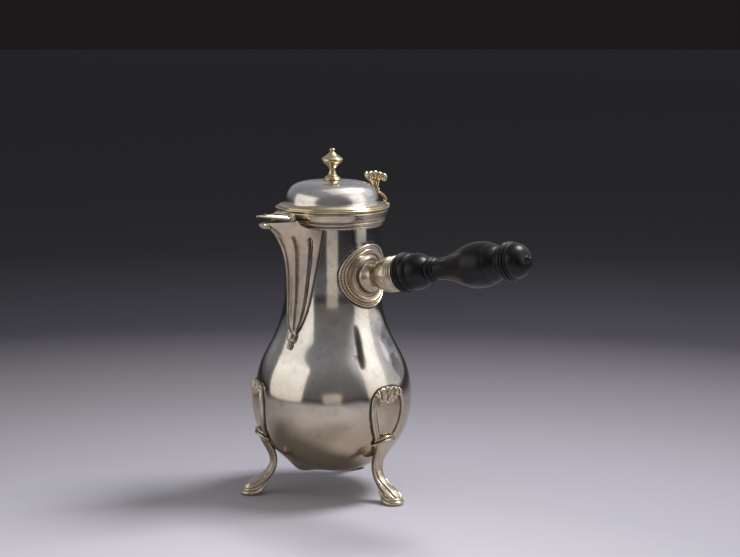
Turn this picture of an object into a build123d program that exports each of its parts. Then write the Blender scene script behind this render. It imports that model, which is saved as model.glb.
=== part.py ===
"""Chocolate pot: a pear-shaped silver vessel on three cabriole feet, with a fluted spout under a hinged flap,
a domed lid hinged behind its rim, a finial that swings off the stirring hole, and a turned wooden side handle.

Frame: origin on the pot's axis at the plane the feet stand on, +Z up, handle towards +X, spout towards -Y.
All sizes are millimetres.
"""

from build123d import *
import math
import os

# ---------------------------------------------------------------- vessel
wall = 1.2                    # silver sheet of the vessel, the dome and the spout cover
neck_radius = 34.4            # outside of the neck at its mouth
neck_spread = 0.6             # how much wider the neck is at its foot
neck_foot = 150.0             # height where the straight neck ends
mouth_height = 206.4          # top of the neck and of its collar
belly_radius = 57.0           # widest radius of the belly
belly_height = 74.0           # height of that widest line
base_height = 17.2            # underside of the belly above the standing plane

# ---------------------------------------------------------------- mouth collar
collar_depth = 11.8           # height of the moulding around the mouth
collar_projection = 5.4       # how far its top fascia stands out from the neck

# ---------------------------------------------------------------- lid
lid_gap = 0.3                 # between the collar's top and the lid's flange
flange_overhang = 1.4         # flange rim beyond the collar
flange_height = 4.5           # from the flange's underside to the seat of the dome
dome_radius = 34.2            # outside of the dome at its base
dome_height = 16.0            # from the seat of the dome to its crown
bezel_clearance = 0.6         # between the bezel and the inside of the neck
bezel_wall = 1.0
bezel_depth = 7.0             # how far the bezel reaches down into the neck
stirring_hole_radius = 3.9    # hole in the crown for the stirring rod

# ---------------------------------------------------------------- finial and its cover plate
plate_radius = 6.3
plate_thickness = 1.3
plate_lift = 0.15             # running gap between the cover plate and the crown
pivot_offset = 8.6            # from the pot's axis to the pivot of the cover plate
pivot_turn = 133.0            # degrees from the handle round to that pivot
ear_radius = 2.9
rivet_radius = 1.1
rivet_clearance = 0.06
rivet_head_radius = 1.9
rivet_head_height = 0.9
finial_height = 21.3          # above the cover plate
finial_radius = 7.9           # widest bulge

# ---------------------------------------------------------------- lid hinge
hinge_turn = 75.0             # degrees from the handle round to the lid hinge
hinge_reach = 3.0             # from the flange rim out to the hinge axis
hinge_rise = 0.1              # hinge axis above the underside of the flange
knuckle_radius = 2.2
lid_knuckle_length = 4.6
side_knuckle_length = 2.4
knuckle_gap = 0.3             # between neighbouring knuckles
pin_radius = 0.9
pin_clearance = 0.06          # radial, in the knuckle that turns on the pin
leaf_thickness = 1.8
leaf_half_width = 4.4
bracket_thickness = 2.4
thumbpiece_height = 25.6      # from the hinge axis to the top of the shell
bead_share = 0.46             # height of the bead at the foot of the shell, of the whole
lobe_count = 5
lobe_spread = 4.5             # between neighbouring lobes
lobe_fan = 20.0               # degrees between the ways that neighbouring lobes curl
lobe_radius = 1.2

# ---------------------------------------------------------------- spout
spout_wall = 1.7
spout_foot = 119.5            # lower end of the spout on the vessel
spout_top = 202.0             # rim of the spout
spout_root_half_width = 18.4  # on the neck, just under the collar
spout_reach = 72.6            # tip of the lip from the pot's axis
lip_height = 4.6              # blunt end of the lip
lip_width = 5.6
flute_count = 5
flute_radius = 1.9            # of the round cutter at the top of a flute
flute_depth = 1.0
flute_top = 188.0
flute_foot = 128.0
drop_radius = 3.4             # fullest part of the drop under the spout's foot
drop_length = 14.8
drop_lap = 4.0                # how far the drop's top lies above the spout's foot

# ---------------------------------------------------------------- spout flap
flap_axis_reach = 50.7        # hinge of the flap, from the pot's axis
flap_axis_height = 204.3
flap_knuckle_radius = 2.1
flap_knuckle_length = 9.0
flap_side_knuckle_length = 5.6
flap_pin_radius = 0.8
flap_overhang = 3.6           # flap beyond the lip
flap_thickness = 1.5
flap_rise = 8.0               # degrees the flap stands ajar
flap_seat_gap = 0.3           # between the shut flap and the rim

# ---------------------------------------------------------------- handle
handle_height = 160.6         # where the handle's axis crosses the radius below
handle_root = 36.0            # distance of that point from the pot's axis
handle_tilt = 10.0            # degrees above the horizontal
escutcheon_radius = 22.75
escutcheon_thickness = 2.6
boss_radius = 11.4
socket_length = 30.5
socket_radius = 12.6
tenon_radius = 8.0
tenon_length = 15.0
tenon_clearance = 0.05
cross_pin_radius = 1.1
grip_length = 112.5           # from the end of the socket to the tip of the grip
grip_radius = 15.7            # fullest part of the grip

# ---------------------------------------------------------------- feet
foot_count = 3
foot_turn = -3.0              # degrees from the handle to the first foot
toe_reach = 70.8              # tip of a toe from the pot's axis
shield_top = 84.0
shield_half_width = 16.2
shield_border = 3.6
border_height = 2.2           # border of the shield above the belly
field_height = 1.3            # plain field inside the border

# ================================================================ the vessel's outline
neck_foot_radius = neck_radius + neck_spread
shoulder_rise = neck_foot - belly_height
underside_drop = belly_height - base_height
shoulder_shape = [(0.091, 0.757), (0.373, 0.522), (0.755, 0.303)]    # share of the spread, share of the rise
underside_shape = [(0.926, 0.475), (0.719, 0.785), (0.421, 0.965)]   # share of the radius, share of the drop

with BuildLine(Plane.XZ) as vessel_side:
    neck_line = Line((neck_radius, mouth_height), (neck_foot_radius, neck_foot))
    belly_curve = Spline(
        (neck_foot_radius, neck_foot),
        *[
            (neck_foot_radius + (belly_radius - neck_foot_radius) * out, belly_height + shoulder_rise * up)
            for out, up in shoulder_shape
        ],
        (belly_radius, belly_height),
        *[(belly_radius * out, belly_height - underside_drop * down) for out, down in underside_shape],
        (0, base_height),
        tangents=[(neck_spread, neck_foot - mouth_height), (-1, 0)],
    )


def vessel_radius(height):
    """Outside radius of the vessel at a height above the widest line of the belly or just below it."""
    if height >= neck_foot:
        share = (mouth_height - height) / (mouth_height - neck_foot)
        return neck_radius + neck_spread * share
    low, high = 0.0, 1.0
    for _ in range(40):
        middle = (low + high) / 2
        if (belly_curve @ middle).Z > height:
            low = middle
        else:
            high = middle
    return (belly_curve @ low).X


def moved_out(curve, share, grow):
    """Point of a side curve moved out of the vessel along the curve's normal."""
    point, along = curve @ share, curve % share
    return (point.X - along.Z * grow, point.Z + along.X * grow)


def envelope(grow=0.0, top=mouth_height, steps=14):
    """The vessel as a full solid, its outside moved out by grow."""
    mouth_point = (moved_out(neck_line, 0, grow)[0], top)
    side_points = [moved_out(belly_curve, step / steps, grow) for step in range(steps)]
    with BuildPart() as solid:
        with BuildSketch(Plane.XZ):
            with BuildLine():
                Spline(
                    *side_points,
                    (0, base_height - grow),
                    tangents=[(neck_spread, neck_foot - mouth_height), (-1, 0)],
                )
                Polyline((0, base_height - grow), (0, top), mouth_point, side_points[0])
            make_face()
        revolve(axis=Axis.Z)
    return solid.part


vessel_envelope = envelope()

# ================================================================ vessel
mouth_slot_width = 14.0       # opening from the neck into the spout
mouth_slot_height = 46.0
mouth_slot_centre = 166.0

with BuildPart() as vessel:
    add(vessel_envelope)
    add(envelope(-wall, mouth_height + wall), mode=Mode.SUBTRACT)
    with BuildSketch(Plane(origin=(0, -neck_radius - wall, mouth_slot_centre), x_dir=(1, 0, 0), z_dir=(0, -1, 0))):
        SlotOverall(mouth_slot_height, mouth_slot_width, rotation=90)
    extrude(amount=-neck_radius, mode=Mode.SUBTRACT)
vessel.part.label = "vessel"

# ================================================================ mouth collar
collar_radius = neck_radius + collar_projection
with BuildPart() as collar:
    with BuildSketch(Plane.XZ):
        with BuildLine():
            bead_top = (collar_radius - 0.5, mouth_height)
            cavetto_top = (collar_radius - 0.2, mouth_height - 1.9)
            cavetto_foot = (neck_radius + 3.7, mouth_height - 6.8)
            reed_step = (neck_radius + 2.7, mouth_height - 8.5)
            lower_step = (neck_radius + 1.7, mouth_height - 10.1)
            foot = (neck_radius + 0.6, mouth_height - collar_depth)
            ThreePointArc(bead_top, (collar_radius + 0.2, mouth_height - 0.9), cavetto_top)
            ThreePointArc(cavetto_top, (neck_radius + 4.2, mouth_height - 4.4), cavetto_foot)
            ThreePointArc(cavetto_foot, (neck_radius + 3.8, mouth_height - 7.8), reed_step)
            ThreePointArc(reed_step, (neck_radius + 2.7, mouth_height - 9.4), lower_step)
            ThreePointArc(lower_step, (neck_radius + 1.5, mouth_height - 11.1), foot)
            Polyline(foot, (neck_radius - wall / 2, foot[1]), (neck_radius - wall / 2, mouth_height), bead_top)
        make_face()
    revolve(axis=Axis.Z)
    add(vessel_envelope, mode=Mode.SUBTRACT)
collar.part.label = "collar"

# ================================================================ lid
flange_base = mouth_height + lid_gap
flange_radius = collar_radius + flange_overhang
dome_seat = flange_base + flange_height
crown_height = dome_seat + dome_height
bezel_radius = neck_radius - wall - bezel_clearance
flange_bore = bezel_radius - bezel_wall

with BuildPart() as lid_flange:
    with BuildSketch(Plane.XZ):
        with BuildLine():
            rim_foot = (flange_radius - 0.7, flange_base)
            rim_top = (flange_radius - 0.9, flange_base + 2.0)
            groove = (flange_radius - 1.9, flange_base + 1.7)
            wire_foot = (flange_radius - 2.3, flange_base + 2.1)
            wire_back = (flange_radius - 4.1, flange_base + 2.6)
            cove_top = (dome_radius + 0.4, dome_seat)
            ThreePointArc(rim_foot, (flange_radius, flange_base + 1.0), rim_top)
            Polyline(rim_top, groove, wire_foot)
            ThreePointArc(wire_foot, (flange_radius - 3.1, flange_base + 3.2), wire_back)
            ThreePointArc(wire_back, (dome_radius + 1.2, flange_base + 3.1), cove_top)
            Polyline(cove_top, (flange_bore, dome_seat), (flange_bore, flange_base), rim_foot)
        make_face()
    revolve(axis=Axis.Z)
lid_flange.part.label = "lid_flange"

dome_shape = [(0.965, 0.38), (0.86, 0.70), (0.72, 0.875), (0.50, 0.965)]   # share of the radius, of the height


def dome_outline(inset):
    """Points of the dome's side from its base to its crown, moved inwards by inset."""
    side = [((dome_radius - inset) * out, dome_seat + (dome_height - inset) * up) for out, up in dome_shape]
    return [(dome_radius - inset, dome_seat), *side, (0, crown_height - inset)]


with BuildPart() as lid_dome:
    for inset, mode in ((0, Mode.ADD), (wall, Mode.SUBTRACT)):
        with BuildSketch(Plane.XZ):
            with BuildLine():
                Spline(*dome_outline(inset), tangents=[(-0.05, 1), (-1, 0)])
                Polyline((0, crown_height - inset), (0, dome_seat), (dome_radius - inset, dome_seat))
            make_face()
        revolve(axis=Axis.Z, mode=mode)
    with Locations((0, 0, crown_height)):
        Hole(stirring_hole_radius, depth=2 * wall)
    with PolarLocations(pivot_offset, 1, pivot_turn):
        with Locations((0, 0, crown_height)):
            Hole(rivet_radius, depth=3 * wall)
lid_dome.part.label = "lid_dome"

with BuildPart() as lid_bezel:
    with BuildSketch(Plane.XY.offset(flange_base)):
        Circle(bezel_radius)
        Circle(flange_bore, mode=Mode.SUBTRACT)
    extrude(amount=-bezel_depth)
lid_bezel.part.label = "lid_bezel"

# ================================================================ finial and stirring-hole cover
plate_base = crown_height + plate_lift
plate_top = plate_base + plate_thickness
with BuildPart() as cover_plate:
    with BuildSketch(Plane.XY.offset(plate_base)):
        Circle(plate_radius)
        with PolarLocations(pivot_offset, 1, pivot_turn):
            Circle(ear_radius)
        with PolarLocations(pivot_offset / 2, 1, pivot_turn):
            Rectangle(pivot_offset, 2 * ear_radius)
        with PolarLocations(pivot_offset, 1, pivot_turn):
            Circle(rivet_radius + rivet_clearance, mode=Mode.SUBTRACT)
    extrude(amount=plate_thickness)
    rim = cover_plate.edges().filter_by(GeomType.CIRCLE).group_by(Axis.Z)[-1].filter_by(
        lambda edge: edge.radius > rivet_radius * 1.5
    )
    chamfer(rim, plate_thickness * 0.4)
cover_plate.part.label = "cover_plate"

# share of the widest radius, share of the height
finial_foot_shape = [(0.70, 0.0), (0.66, 0.03), (0.50, 0.07), (0.31, 0.25), (0.56, 0.43), (0.86, 0.515)]
finial_cone_shape = [(1.0, 0.59), (0.93, 0.65), (0.80, 0.70)]
finial_step = 0.5             # between the bulge and the cone over it
with BuildPart() as finial:
    with BuildSketch(Plane.XZ):
        with BuildLine():
            foot_points = [(finial_radius * out, plate_top + finial_height * up) for out, up in finial_foot_shape]
            bulge_points = [(finial_radius * out, plate_top + finial_height * up) for out, up in finial_cone_shape]
            button_foot = (finial_radius * 0.2, plate_top + finial_height * 0.875)
            button_side = (finial_radius * 0.26, plate_top + finial_height * 0.935)
            tip = (0, plate_top + finial_height)
            Polyline(*foot_points[:3])
            Spline(*foot_points[2:], bulge_points[0], tangents=[(-0.8, 1), (0.2, 1)])
            Spline(*bulge_points, tangents=[(-0.1, 1), (-1, 0.7)])
            step = (bulge_points[-1][0] - finial_step, bulge_points[-1][1])
            Line(bulge_points[-1], step)
            Spline(step, button_foot, tangents=[(-1, 0.55), (-0.6, 1)])
            Spline(button_foot, button_side, tip, tangents=[(1, 0.6), (-1, 0)])
            Polyline(tip, (0, plate_top), foot_points[0])
        make_face()
    revolve(axis=Axis.Z)
finial.part.label = "finial"

with BuildPart() as cover_rivet:
    with BuildSketch(Plane.XY.offset(crown_height - 2 * wall)):
        with PolarLocations(pivot_offset, 1, pivot_turn):
            Circle(rivet_radius)
    extrude(amount=plate_top + rivet_clearance - crown_height + 2 * wall)
    with BuildSketch(Plane.XY.offset(plate_top + rivet_clearance)):
        with PolarLocations(pivot_offset, 1, pivot_turn):
            Circle(rivet_head_radius)
    extrude(amount=rivet_head_height)
    fillet(cover_rivet.edges().group_by(Axis.Z)[-1], rivet_head_height * 0.6)
cover_rivet.part.label = "cover_rivet"

# ================================================================ lid hinge and thumbpiece
hinge_y = flange_radius + hinge_reach
hinge_z = flange_base + hinge_rise
side_knuckle_start = lid_knuckle_length / 2 + knuckle_gap
hinge_half_length = side_knuckle_start + side_knuckle_length
leaf_base = flange_base + 0.2


def cross_plane(x, y, z):
    """Plane across a hinge line that runs along X."""
    return Plane(origin=(x, y, z), x_dir=(0, 1, 0), z_dir=(1, 0, 0))


def set_round(label, part):
    """A piece of the hinge, drawn towards +Y, turned about the pot's axis to where the lid is hinged."""
    with BuildPart() as placed:
        with Locations(Location((0, 0, 0), (0, 0, hinge_turn - 90))):
            add(part)
    placed.part.label = label
    return placed


tongue_half_width = side_knuckle_start - 2 * knuckle_gap
tongue_root = hinge_y - knuckle_radius - knuckle_gap
with BuildPart() as leaf:
    with BuildSketch(Plane.XY.offset(leaf_base)):
        with BuildLine():
            Polyline(
                (-leaf_half_width, flange_radius - 2.5), (leaf_half_width, flange_radius - 2.5),
                (leaf_half_width, flange_radius + knuckle_gap), (tongue_half_width, tongue_root),
                (tongue_half_width, hinge_y), (-tongue_half_width, hinge_y),
                (-tongue_half_width, tongue_root), (-leaf_half_width, flange_radius + knuckle_gap),
                close=True,
            )
        make_face()
        Circle(flange_radius - 0.8, mode=Mode.SUBTRACT)
    extrude(amount=leaf_thickness)
    with BuildSketch(cross_plane(-lid_knuckle_length / 2, hinge_y, hinge_z)):
        Circle(knuckle_radius)
    extrude(amount=lid_knuckle_length)
    with BuildSketch(cross_plane(-lid_knuckle_length / 2, hinge_y, hinge_z)):
        Circle(pin_radius + pin_clearance)
    extrude(amount=lid_knuckle_length, mode=Mode.SUBTRACT)
    add(lid_flange.part, mode=Mode.SUBTRACT)
lid_hinge_leaf = set_round("lid_hinge_leaf", leaf.part)

bracket_top = hinge_z - 1.2
notch_root = hinge_y - knuckle_radius - 1.0
with BuildPart() as bracket:
    with BuildSketch(Plane.XY.offset(bracket_top)):
        with BuildLine():
            Polyline(
                (-hinge_half_length, collar_radius - 3), (hinge_half_length, collar_radius - 3),
                (hinge_half_length, hinge_y), (side_knuckle_start, hinge_y),
                (side_knuckle_start, notch_root), (-side_knuckle_start, notch_root),
                (-side_knuckle_start, hinge_y), (-hinge_half_length, hinge_y),
                close=True,
            )
        make_face()
    extrude(amount=-bracket_thickness)
    for start in (-hinge_half_length, side_knuckle_start):
        with BuildSketch(cross_plane(start, hinge_y, hinge_z)):
            Circle(knuckle_radius)
        extrude(amount=side_knuckle_length)
    with BuildSketch(cross_plane(-hinge_half_length, hinge_y, hinge_z)):
        Circle(pin_radius)
    extrude(amount=2 * hinge_half_length, mode=Mode.SUBTRACT)
    add(collar.part, mode=Mode.SUBTRACT)
    add(vessel_envelope, mode=Mode.SUBTRACT)
hinge_bracket = set_round("hinge_bracket", bracket.part)

with BuildPart() as hinge_rod:
    with BuildSketch(cross_plane(-hinge_half_length, hinge_y, hinge_z)):
        Circle(pin_radius)
    extrude(amount=2 * hinge_half_length)
lid_hinge_pin = set_round("lid_hinge_pin", hinge_rod.part)

bead_height = thumbpiece_height * bead_share
bead_y = hinge_y - 5.9
shell_rise = thumbpiece_height - bead_height


def tube(stations):
    """A round or oval tube through stations of (point, direction, half width, half depth)."""
    with BuildPart() as horn:
        for point, direction, half_width, half_depth in stations:
            with BuildSketch(Plane(origin=point, x_dir=(1, 0, 0), z_dir=direction)):
                Ellipse(half_width, half_depth)
        loft()
    return horn.part


# share of the sideways spread, of the rise, of the lean inwards, of the curl outwards and of the lobe's radius, and
# how far the lobe runs outwards and upwards there
lobe_stations = [
    (0.0, 0.0, 0.0, 0.0, 0.6, (-0.3, 1)),
    (0.50, 0.35, 0.5, 0.0, 0.75, (-0.3, 1)),
    (0.88, 0.68, 0.95, 0.0, 0.9, (0.1, 1)),
    (1.0, 0.86, 1.0, 0.25, 1.0, (1, 0.8)),
    (1.0, 0.86, 1.0, 0.75, 1.0, (1, -0.7)),
    (1.0, 0.70, 1.0, 1.0, 0.9, (0, -1)),
]
lobe_lean = 3.8               # how far the shell leans in over the dome
lobe_curl = 4.4               # how far its lobes curl outwards again
stem_stations = [             # out from the hinge axis, up from it, direction, half width, half depth
    (0.9, 1.2, (0.0, 1.0), 2.2, 1.1),
    (1.0, 4.4, (-0.5, 1.0), 2.1, 0.9),
    (-3.0, 8.8, (-1.0, 0.9), 1.9, 0.9),
]

with BuildPart() as shell:
    for lobe in range(lobe_count):
        place = lobe - (lobe_count - 1) / 2
        turn = math.radians(place * lobe_fan)
        rise = shell_rise - abs(place) * 0.5
        add(tube([
            ((place * lobe_spread * aside + lobe_curl * curl * math.sin(turn),
              bead_y - lobe_lean * lean + lobe_curl * curl * math.cos(turn),
              hinge_z + bead_height + rise * up), (0, *run), lobe_radius * share, lobe_radius * share)
            for aside, up, lean, curl, share, run in lobe_stations
        ]))
    add(tube([
        *[((0, hinge_y + out, hinge_z + up), (0, *run), half_width, half_depth)
          for out, up, run, half_width, half_depth in stem_stations],
        ((0, bead_y, hinge_z + bead_height + 0.4), (0, -0.3, 1), 1.7, 1.2),
    ]))
    with Locations((0, bead_y, hinge_z + bead_height)):
        Sphere(lobe_radius * 1.25)
    add(leaf.part, mode=Mode.SUBTRACT)
    with BuildSketch(cross_plane(-hinge_half_length, hinge_y, hinge_z)):
        Circle(knuckle_radius - 0.01)
    extrude(amount=2 * hinge_half_length, mode=Mode.SUBTRACT)
thumbpiece = set_round("thumbpiece", shell.part)

# ================================================================ spout
spout_rise = spout_top - spout_foot
spout_throw = spout_reach - neck_radius
# share of the rise, share of the root half width, share of the throw, nose radius
spout_stations = [
    (0.0, 0.085, 0.204, 1.3),
    (0.103, 0.31, 0.304, 3.2),
    (0.248, 0.48, 0.304, 4.4),
    (0.430, 0.64, 0.301, 5.6),
    (0.612, 0.79, 0.327, 6.4),
    (0.733, 0.88, 0.393, 6.6),
    (0.830, 0.95, 0.508, 6.2),
    (0.903, 0.99, 0.644, 5.0),
    (0.958, 1.01, 0.801, 3.8),
    (1.018, 1.03, 0.971, 3.0),
]
root_depth = 2.4              # how far the sections run into the vessel before they are trimmed


def spout_section(station, inset=0.0):
    """One level section of the spout: height, root point, tangent point and nose, each as (across, outwards)."""
    rise, width, throw, nose_radius = station
    height = spout_foot + spout_rise * rise
    across = spout_root_half_width * width - inset
    outwards = math.sqrt(vessel_radius(height) ** 2 - across**2)
    radius = max(nose_radius - inset, 0.6)
    nose = neck_radius + spout_throw * throw - inset
    centre = nose - radius
    turn = math.atan2(outwards - centre, across) + math.acos(radius / math.hypot(across, centre - outwards))
    tangent = (radius * math.cos(turn), centre + radius * math.sin(turn))
    return height, (across, outwards), tangent, (0, nose)


def spout_body(stations, inset=0.0):
    """Solid lofted through level sections of the spout."""
    with BuildPart() as body:
        for station in stations:
            height, root, tangent, nose = spout_section(station, inset)
            inside = 1 - root_depth / math.hypot(*root)
            back = (root[0] * inside, root[1] * inside)
            with BuildSketch(Plane.XY.offset(height)):
                with BuildLine():
                    Polyline((-tangent[0], -tangent[1]), (-root[0], -root[1]), (-back[0], -back[1]),
                             (back[0], -back[1]), (root[0], -root[1]), (tangent[0], -tangent[1]))
                    ThreePointArc((tangent[0], -tangent[1]), (0, -nose[1]), (-tangent[0], -tangent[1]))
                make_face()
        loft()
    return body.part


roof_step = flap_axis_reach - 3.4        # where the flat rim begins behind the flap's hinge
roof_line = [
    (neck_radius - root_depth, spout_top - 6.8),
    (roof_step - 6.8, spout_top - 5.1),
    (roof_step - 2.7, spout_top - 3.3),
    (roof_step, spout_top),
]
roof_end = flap_axis_reach + 2.0         # front edge of the fixed cover
side_plane = Plane(origin=(0, 0, 0), x_dir=(0, -1, 0), z_dir=(-1, 0, 0))     # local x outwards along the spout


def above(side_line):
    """Everything above a line drawn in side view along the spout."""
    ceiling = spout_top + 20
    with BuildPart() as block:
        with BuildSketch(side_plane):
            with BuildLine():
                Polyline(*side_line, (side_line[-1][0], ceiling), (side_line[0][0], ceiling), close=True)
            make_face()
        extrude(amount=spout_root_half_width + 5, both=True)
    return block.part


under_roof = [(reach, height - spout_wall) for reach, height in roof_line]
pour_opening = [(roof_end, spout_top - spout_wall), (roof_end, spout_top + 10), (spout_reach + 20, spout_top + 10)]

with BuildPart() as spout_channel:
    add(spout_body(spout_stations[2:], spout_wall))
    add(above([*under_roof, *pour_opening]), mode=Mode.SUBTRACT)

with BuildPart() as spout:
    add(spout_body(spout_stations))
    add(above([*roof_line, (spout_reach + 20, spout_top)]), mode=Mode.SUBTRACT)
    with BuildSketch(side_plane):
        with BuildLine():
            Polyline((spout_reach - 8.6, spout_top - lip_height - 0.6), (spout_reach - 2.8, spout_top - lip_height + 0.4),
                     (spout_reach - 0.2, spout_top - 0.4), (spout_reach - 8.6, spout_top), close=True)
        make_face()
    extrude(amount=lip_width / 2, both=True)
    add(spout_channel.part, mode=Mode.SUBTRACT)
    for flute in range(flute_count):
        place = flute - (flute_count - 1) / 2
        share = {0: 0.0, 1: 0.90, 2: 0.345}[abs(place)]
        with BuildPart(mode=Mode.PRIVATE) as cutter:
            for station in spout_stations[1:7]:
                height, root, tangent, nose = spout_section(station)
                taper = (height - flute_foot) / (flute_top - flute_foot)
                radius = flute_radius * (0.5 + 0.5 * taper)
                depth = flute_depth * (0.5 + 0.5 * taper)
                if place == 0:
                    centre = (0, nose[1] + radius - depth)
                else:
                    run = (tangent[0] - root[0], tangent[1] - root[1])
                    length = math.hypot(*run)
                    centre = (root[0] + run[0] * share + run[1] / length * (radius - depth),
                              root[1] + run[1] * share - run[0] / length * (radius - depth))
                side = math.copysign(1, place)
                with BuildSketch(Plane.XY.offset(height)):
                    with Locations((side * centre[0], -centre[1])):
                        Circle(radius)
            loft()
            with Locations((side * centre[0], -centre[1], height)):
                Sphere(radius)
        add(cutter.part, mode=Mode.SUBTRACT)
    add(vessel_envelope, mode=Mode.SUBTRACT)
    add(collar.part, mode=Mode.SUBTRACT)
spout.part.label = "spout"

drop_top = spout_foot + drop_lap
drop_foot = drop_top - drop_length
drop_slope = vessel_radius(drop_foot) - vessel_radius(drop_top)
drop_line = Vector(0, -drop_slope, drop_foot - drop_top).normalized()      # down the belly
drop_start = (0, -vessel_radius(drop_top) - drop_radius * 0.3, drop_top)
drop_plane = Plane(origin=drop_start, x_dir=(1, 0, 0), z_dir=(0, -drop_line.Z, drop_line.Y))
# share of the fullest radius, share of the length: a cap, a bulb and a bead
cap_shape = [(0.76, 0.0), (0.91, 0.06), (0.79, 0.12)]
bulb_shape = [(0.79, 0.12), (1.0, 0.30), (0.94, 0.47), (0.66, 0.62), (0.38, 0.65)]
bead_shape = [(0.38, 0.65), (0.54, 0.82), (0.0, 1.0)]
with BuildPart() as spout_drop:
    with BuildSketch(drop_plane):
        with BuildLine():
            cap, bulb, bead = [
                [(drop_radius * out, drop_length * down) for out, down in shape]
                for shape in (cap_shape, bulb_shape, bead_shape)
            ]
            ThreePointArc(*cap)
            Spline(*bulb[:4])
            Line(bulb[3], bulb[4])
            Spline(*bead, tangents=[(1, 0.8), (-1, 0)])
            Polyline(bead[-1], (0, 0), cap[0])
        make_face()
    revolve(axis=Axis(drop_start, drop_line))
    add(vessel_envelope, mode=Mode.SUBTRACT)
    add(spout.part, mode=Mode.SUBTRACT)
spout_drop.part.label = "spout_drop"

# ================================================================ spout flap and its hinge
flap_side_start = flap_knuckle_length / 2 + knuckle_gap
flap_half_length = flap_side_start + flap_side_knuckle_length

with BuildPart() as spout_knuckles:
    for start in (-flap_half_length, flap_side_start):
        with BuildSketch(cross_plane(start, -flap_axis_reach, flap_axis_height)):
            Circle(flap_knuckle_radius)
            with Locations((0, (spout_top - flap_axis_height) / 2)):
                Rectangle(1.5 * flap_knuckle_radius, flap_axis_height - spout_top)
            Circle(flap_pin_radius, mode=Mode.SUBTRACT)
        extrude(amount=flap_side_knuckle_length)
spout_knuckles.part.label = "spout_knuckles"

with BuildPart() as flap_pin:
    with BuildSketch(cross_plane(-flap_half_length, -flap_axis_reach, flap_axis_height)):
        Circle(flap_pin_radius)
    extrude(amount=2 * flap_half_length)
flap_pin.part.label = "flap_pin"

flap_base = spout_top + flap_seat_gap - flap_axis_height      # underside of the shut flap from its hinge axis
flap_length = spout_reach + flap_overhang - flap_axis_reach
# share of the length, half width, height of the domed top
flap_stations = [(0.096, 9.6, 5.3), (0.36, 6.6, 4.5), (0.68, 3.5, 3.2), (0.92, 1.2, 2.2), (1.0, 0.5, 1.5)]


def flap_dome(stations, inset=0.0):
    """Domed leaf of the flap about its hinge axis, its sides and top moved inwards by inset."""
    with BuildPart() as dome:
        for share, half_width, height in stations:
            across, up = half_width - inset, height - inset
            with BuildSketch(Plane(origin=(0, -flap_length * share, flap_base), x_dir=(1, 0, 0), z_dir=(0, -1, 0))):
                with BuildLine():
                    ThreePointArc((across, 0.4), (0, up), (-across, 0.4))
                    Polyline((-across, 0.4), (-across, 0), (across, 0), (across, 0.4))
                make_face()
        loft()
    return dome.part


hollow_stations = [(0.15, 9.2, 5.1), (0.36, 6.6, 4.5), (0.64, 3.8, 3.3)]
hub_rise = 4.0                # top of the leaf over the hinge, above the hinge axis
with BuildPart() as shut_flap:
    add(flap_dome(flap_stations))
    add(flap_dome(hollow_stations, flap_thickness), mode=Mode.SUBTRACT)
    with BuildSketch(side_plane):
        with BuildLine():
            Polyline((-2.2, 2.4), (-4.0, hub_rise - 0.8), (-2.6, hub_rise), (flap_length * 0.2, flap_base + 5.2),
                     (flap_length * 0.2, flap_base + 3.6), (flap_knuckle_radius + 0.6, flap_base + 0.4),
                     (flap_knuckle_radius + 0.4, 0.4), (0, flap_knuckle_radius), close=True)
        make_face()
    extrude(amount=flap_knuckle_length / 2, both=True)
    with BuildSketch(cross_plane(-flap_half_length, 0, 0)):
        Circle(flap_knuckle_radius + 0.3)
    extrude(amount=2 * flap_half_length, mode=Mode.SUBTRACT)
    with BuildSketch(cross_plane(-flap_knuckle_length / 2, 0, 0)):
        Circle(flap_knuckle_radius)
        with Locations((0, flap_knuckle_radius)):
            Rectangle(1.2 * flap_knuckle_radius, flap_knuckle_radius)
        Circle(flap_pin_radius + pin_clearance, mode=Mode.SUBTRACT)
    extrude(amount=flap_knuckle_length)

with BuildPart() as spout_flap:
    with Locations(Location((0, -flap_axis_reach, flap_axis_height), (-flap_rise, 0, 0))):
        add(shut_flap.part)
spout_flap.part.label = "spout_flap"

# ================================================================ handle
handle_run = math.cos(math.radians(handle_tilt))
handle_lift = math.sin(math.radians(handle_tilt))
handle_plane = Plane(
    origin=(handle_root, 0, handle_height), x_dir=(handle_run, 0, handle_lift), z_dir=(0, -1, 0)
)                             # local x along the handle, local y across it
handle_axis = Axis((handle_root, 0, handle_height), (handle_run, 0, handle_lift))
escutcheon_height = handle_height + 0.6
# outer radius, inner radius, height above the neck, each a share of the whole
escutcheon_rings = [
    (1.0, 0.94, 0.88), (0.94, 0.855, 0.46), (0.855, 0.785, 0.86), (0.785, 0.58, 0.62), (0.58, 0.545, 1.0), (0.545, 0, 0.46),
]
with BuildPart() as escutcheon:
    for outer, inner, height in escutcheon_rings:
        with BuildPart(mode=Mode.PRIVATE) as ring:
            with BuildSketch(Plane.YZ.offset(neck_radius / 3)):
                with Locations((0, escutcheon_height)):
                    Circle(escutcheon_radius * outer)
                    if inner:
                        Circle(escutcheon_radius * inner, mode=Mode.SUBTRACT)
            extrude(amount=neck_radius)
            add(envelope(escutcheon_thickness * height), mode=Mode.INTERSECT)
        add(ring.part)
    add(vessel_envelope, mode=Mode.SUBTRACT)
escutcheon.part.label = "escutcheon"

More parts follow.
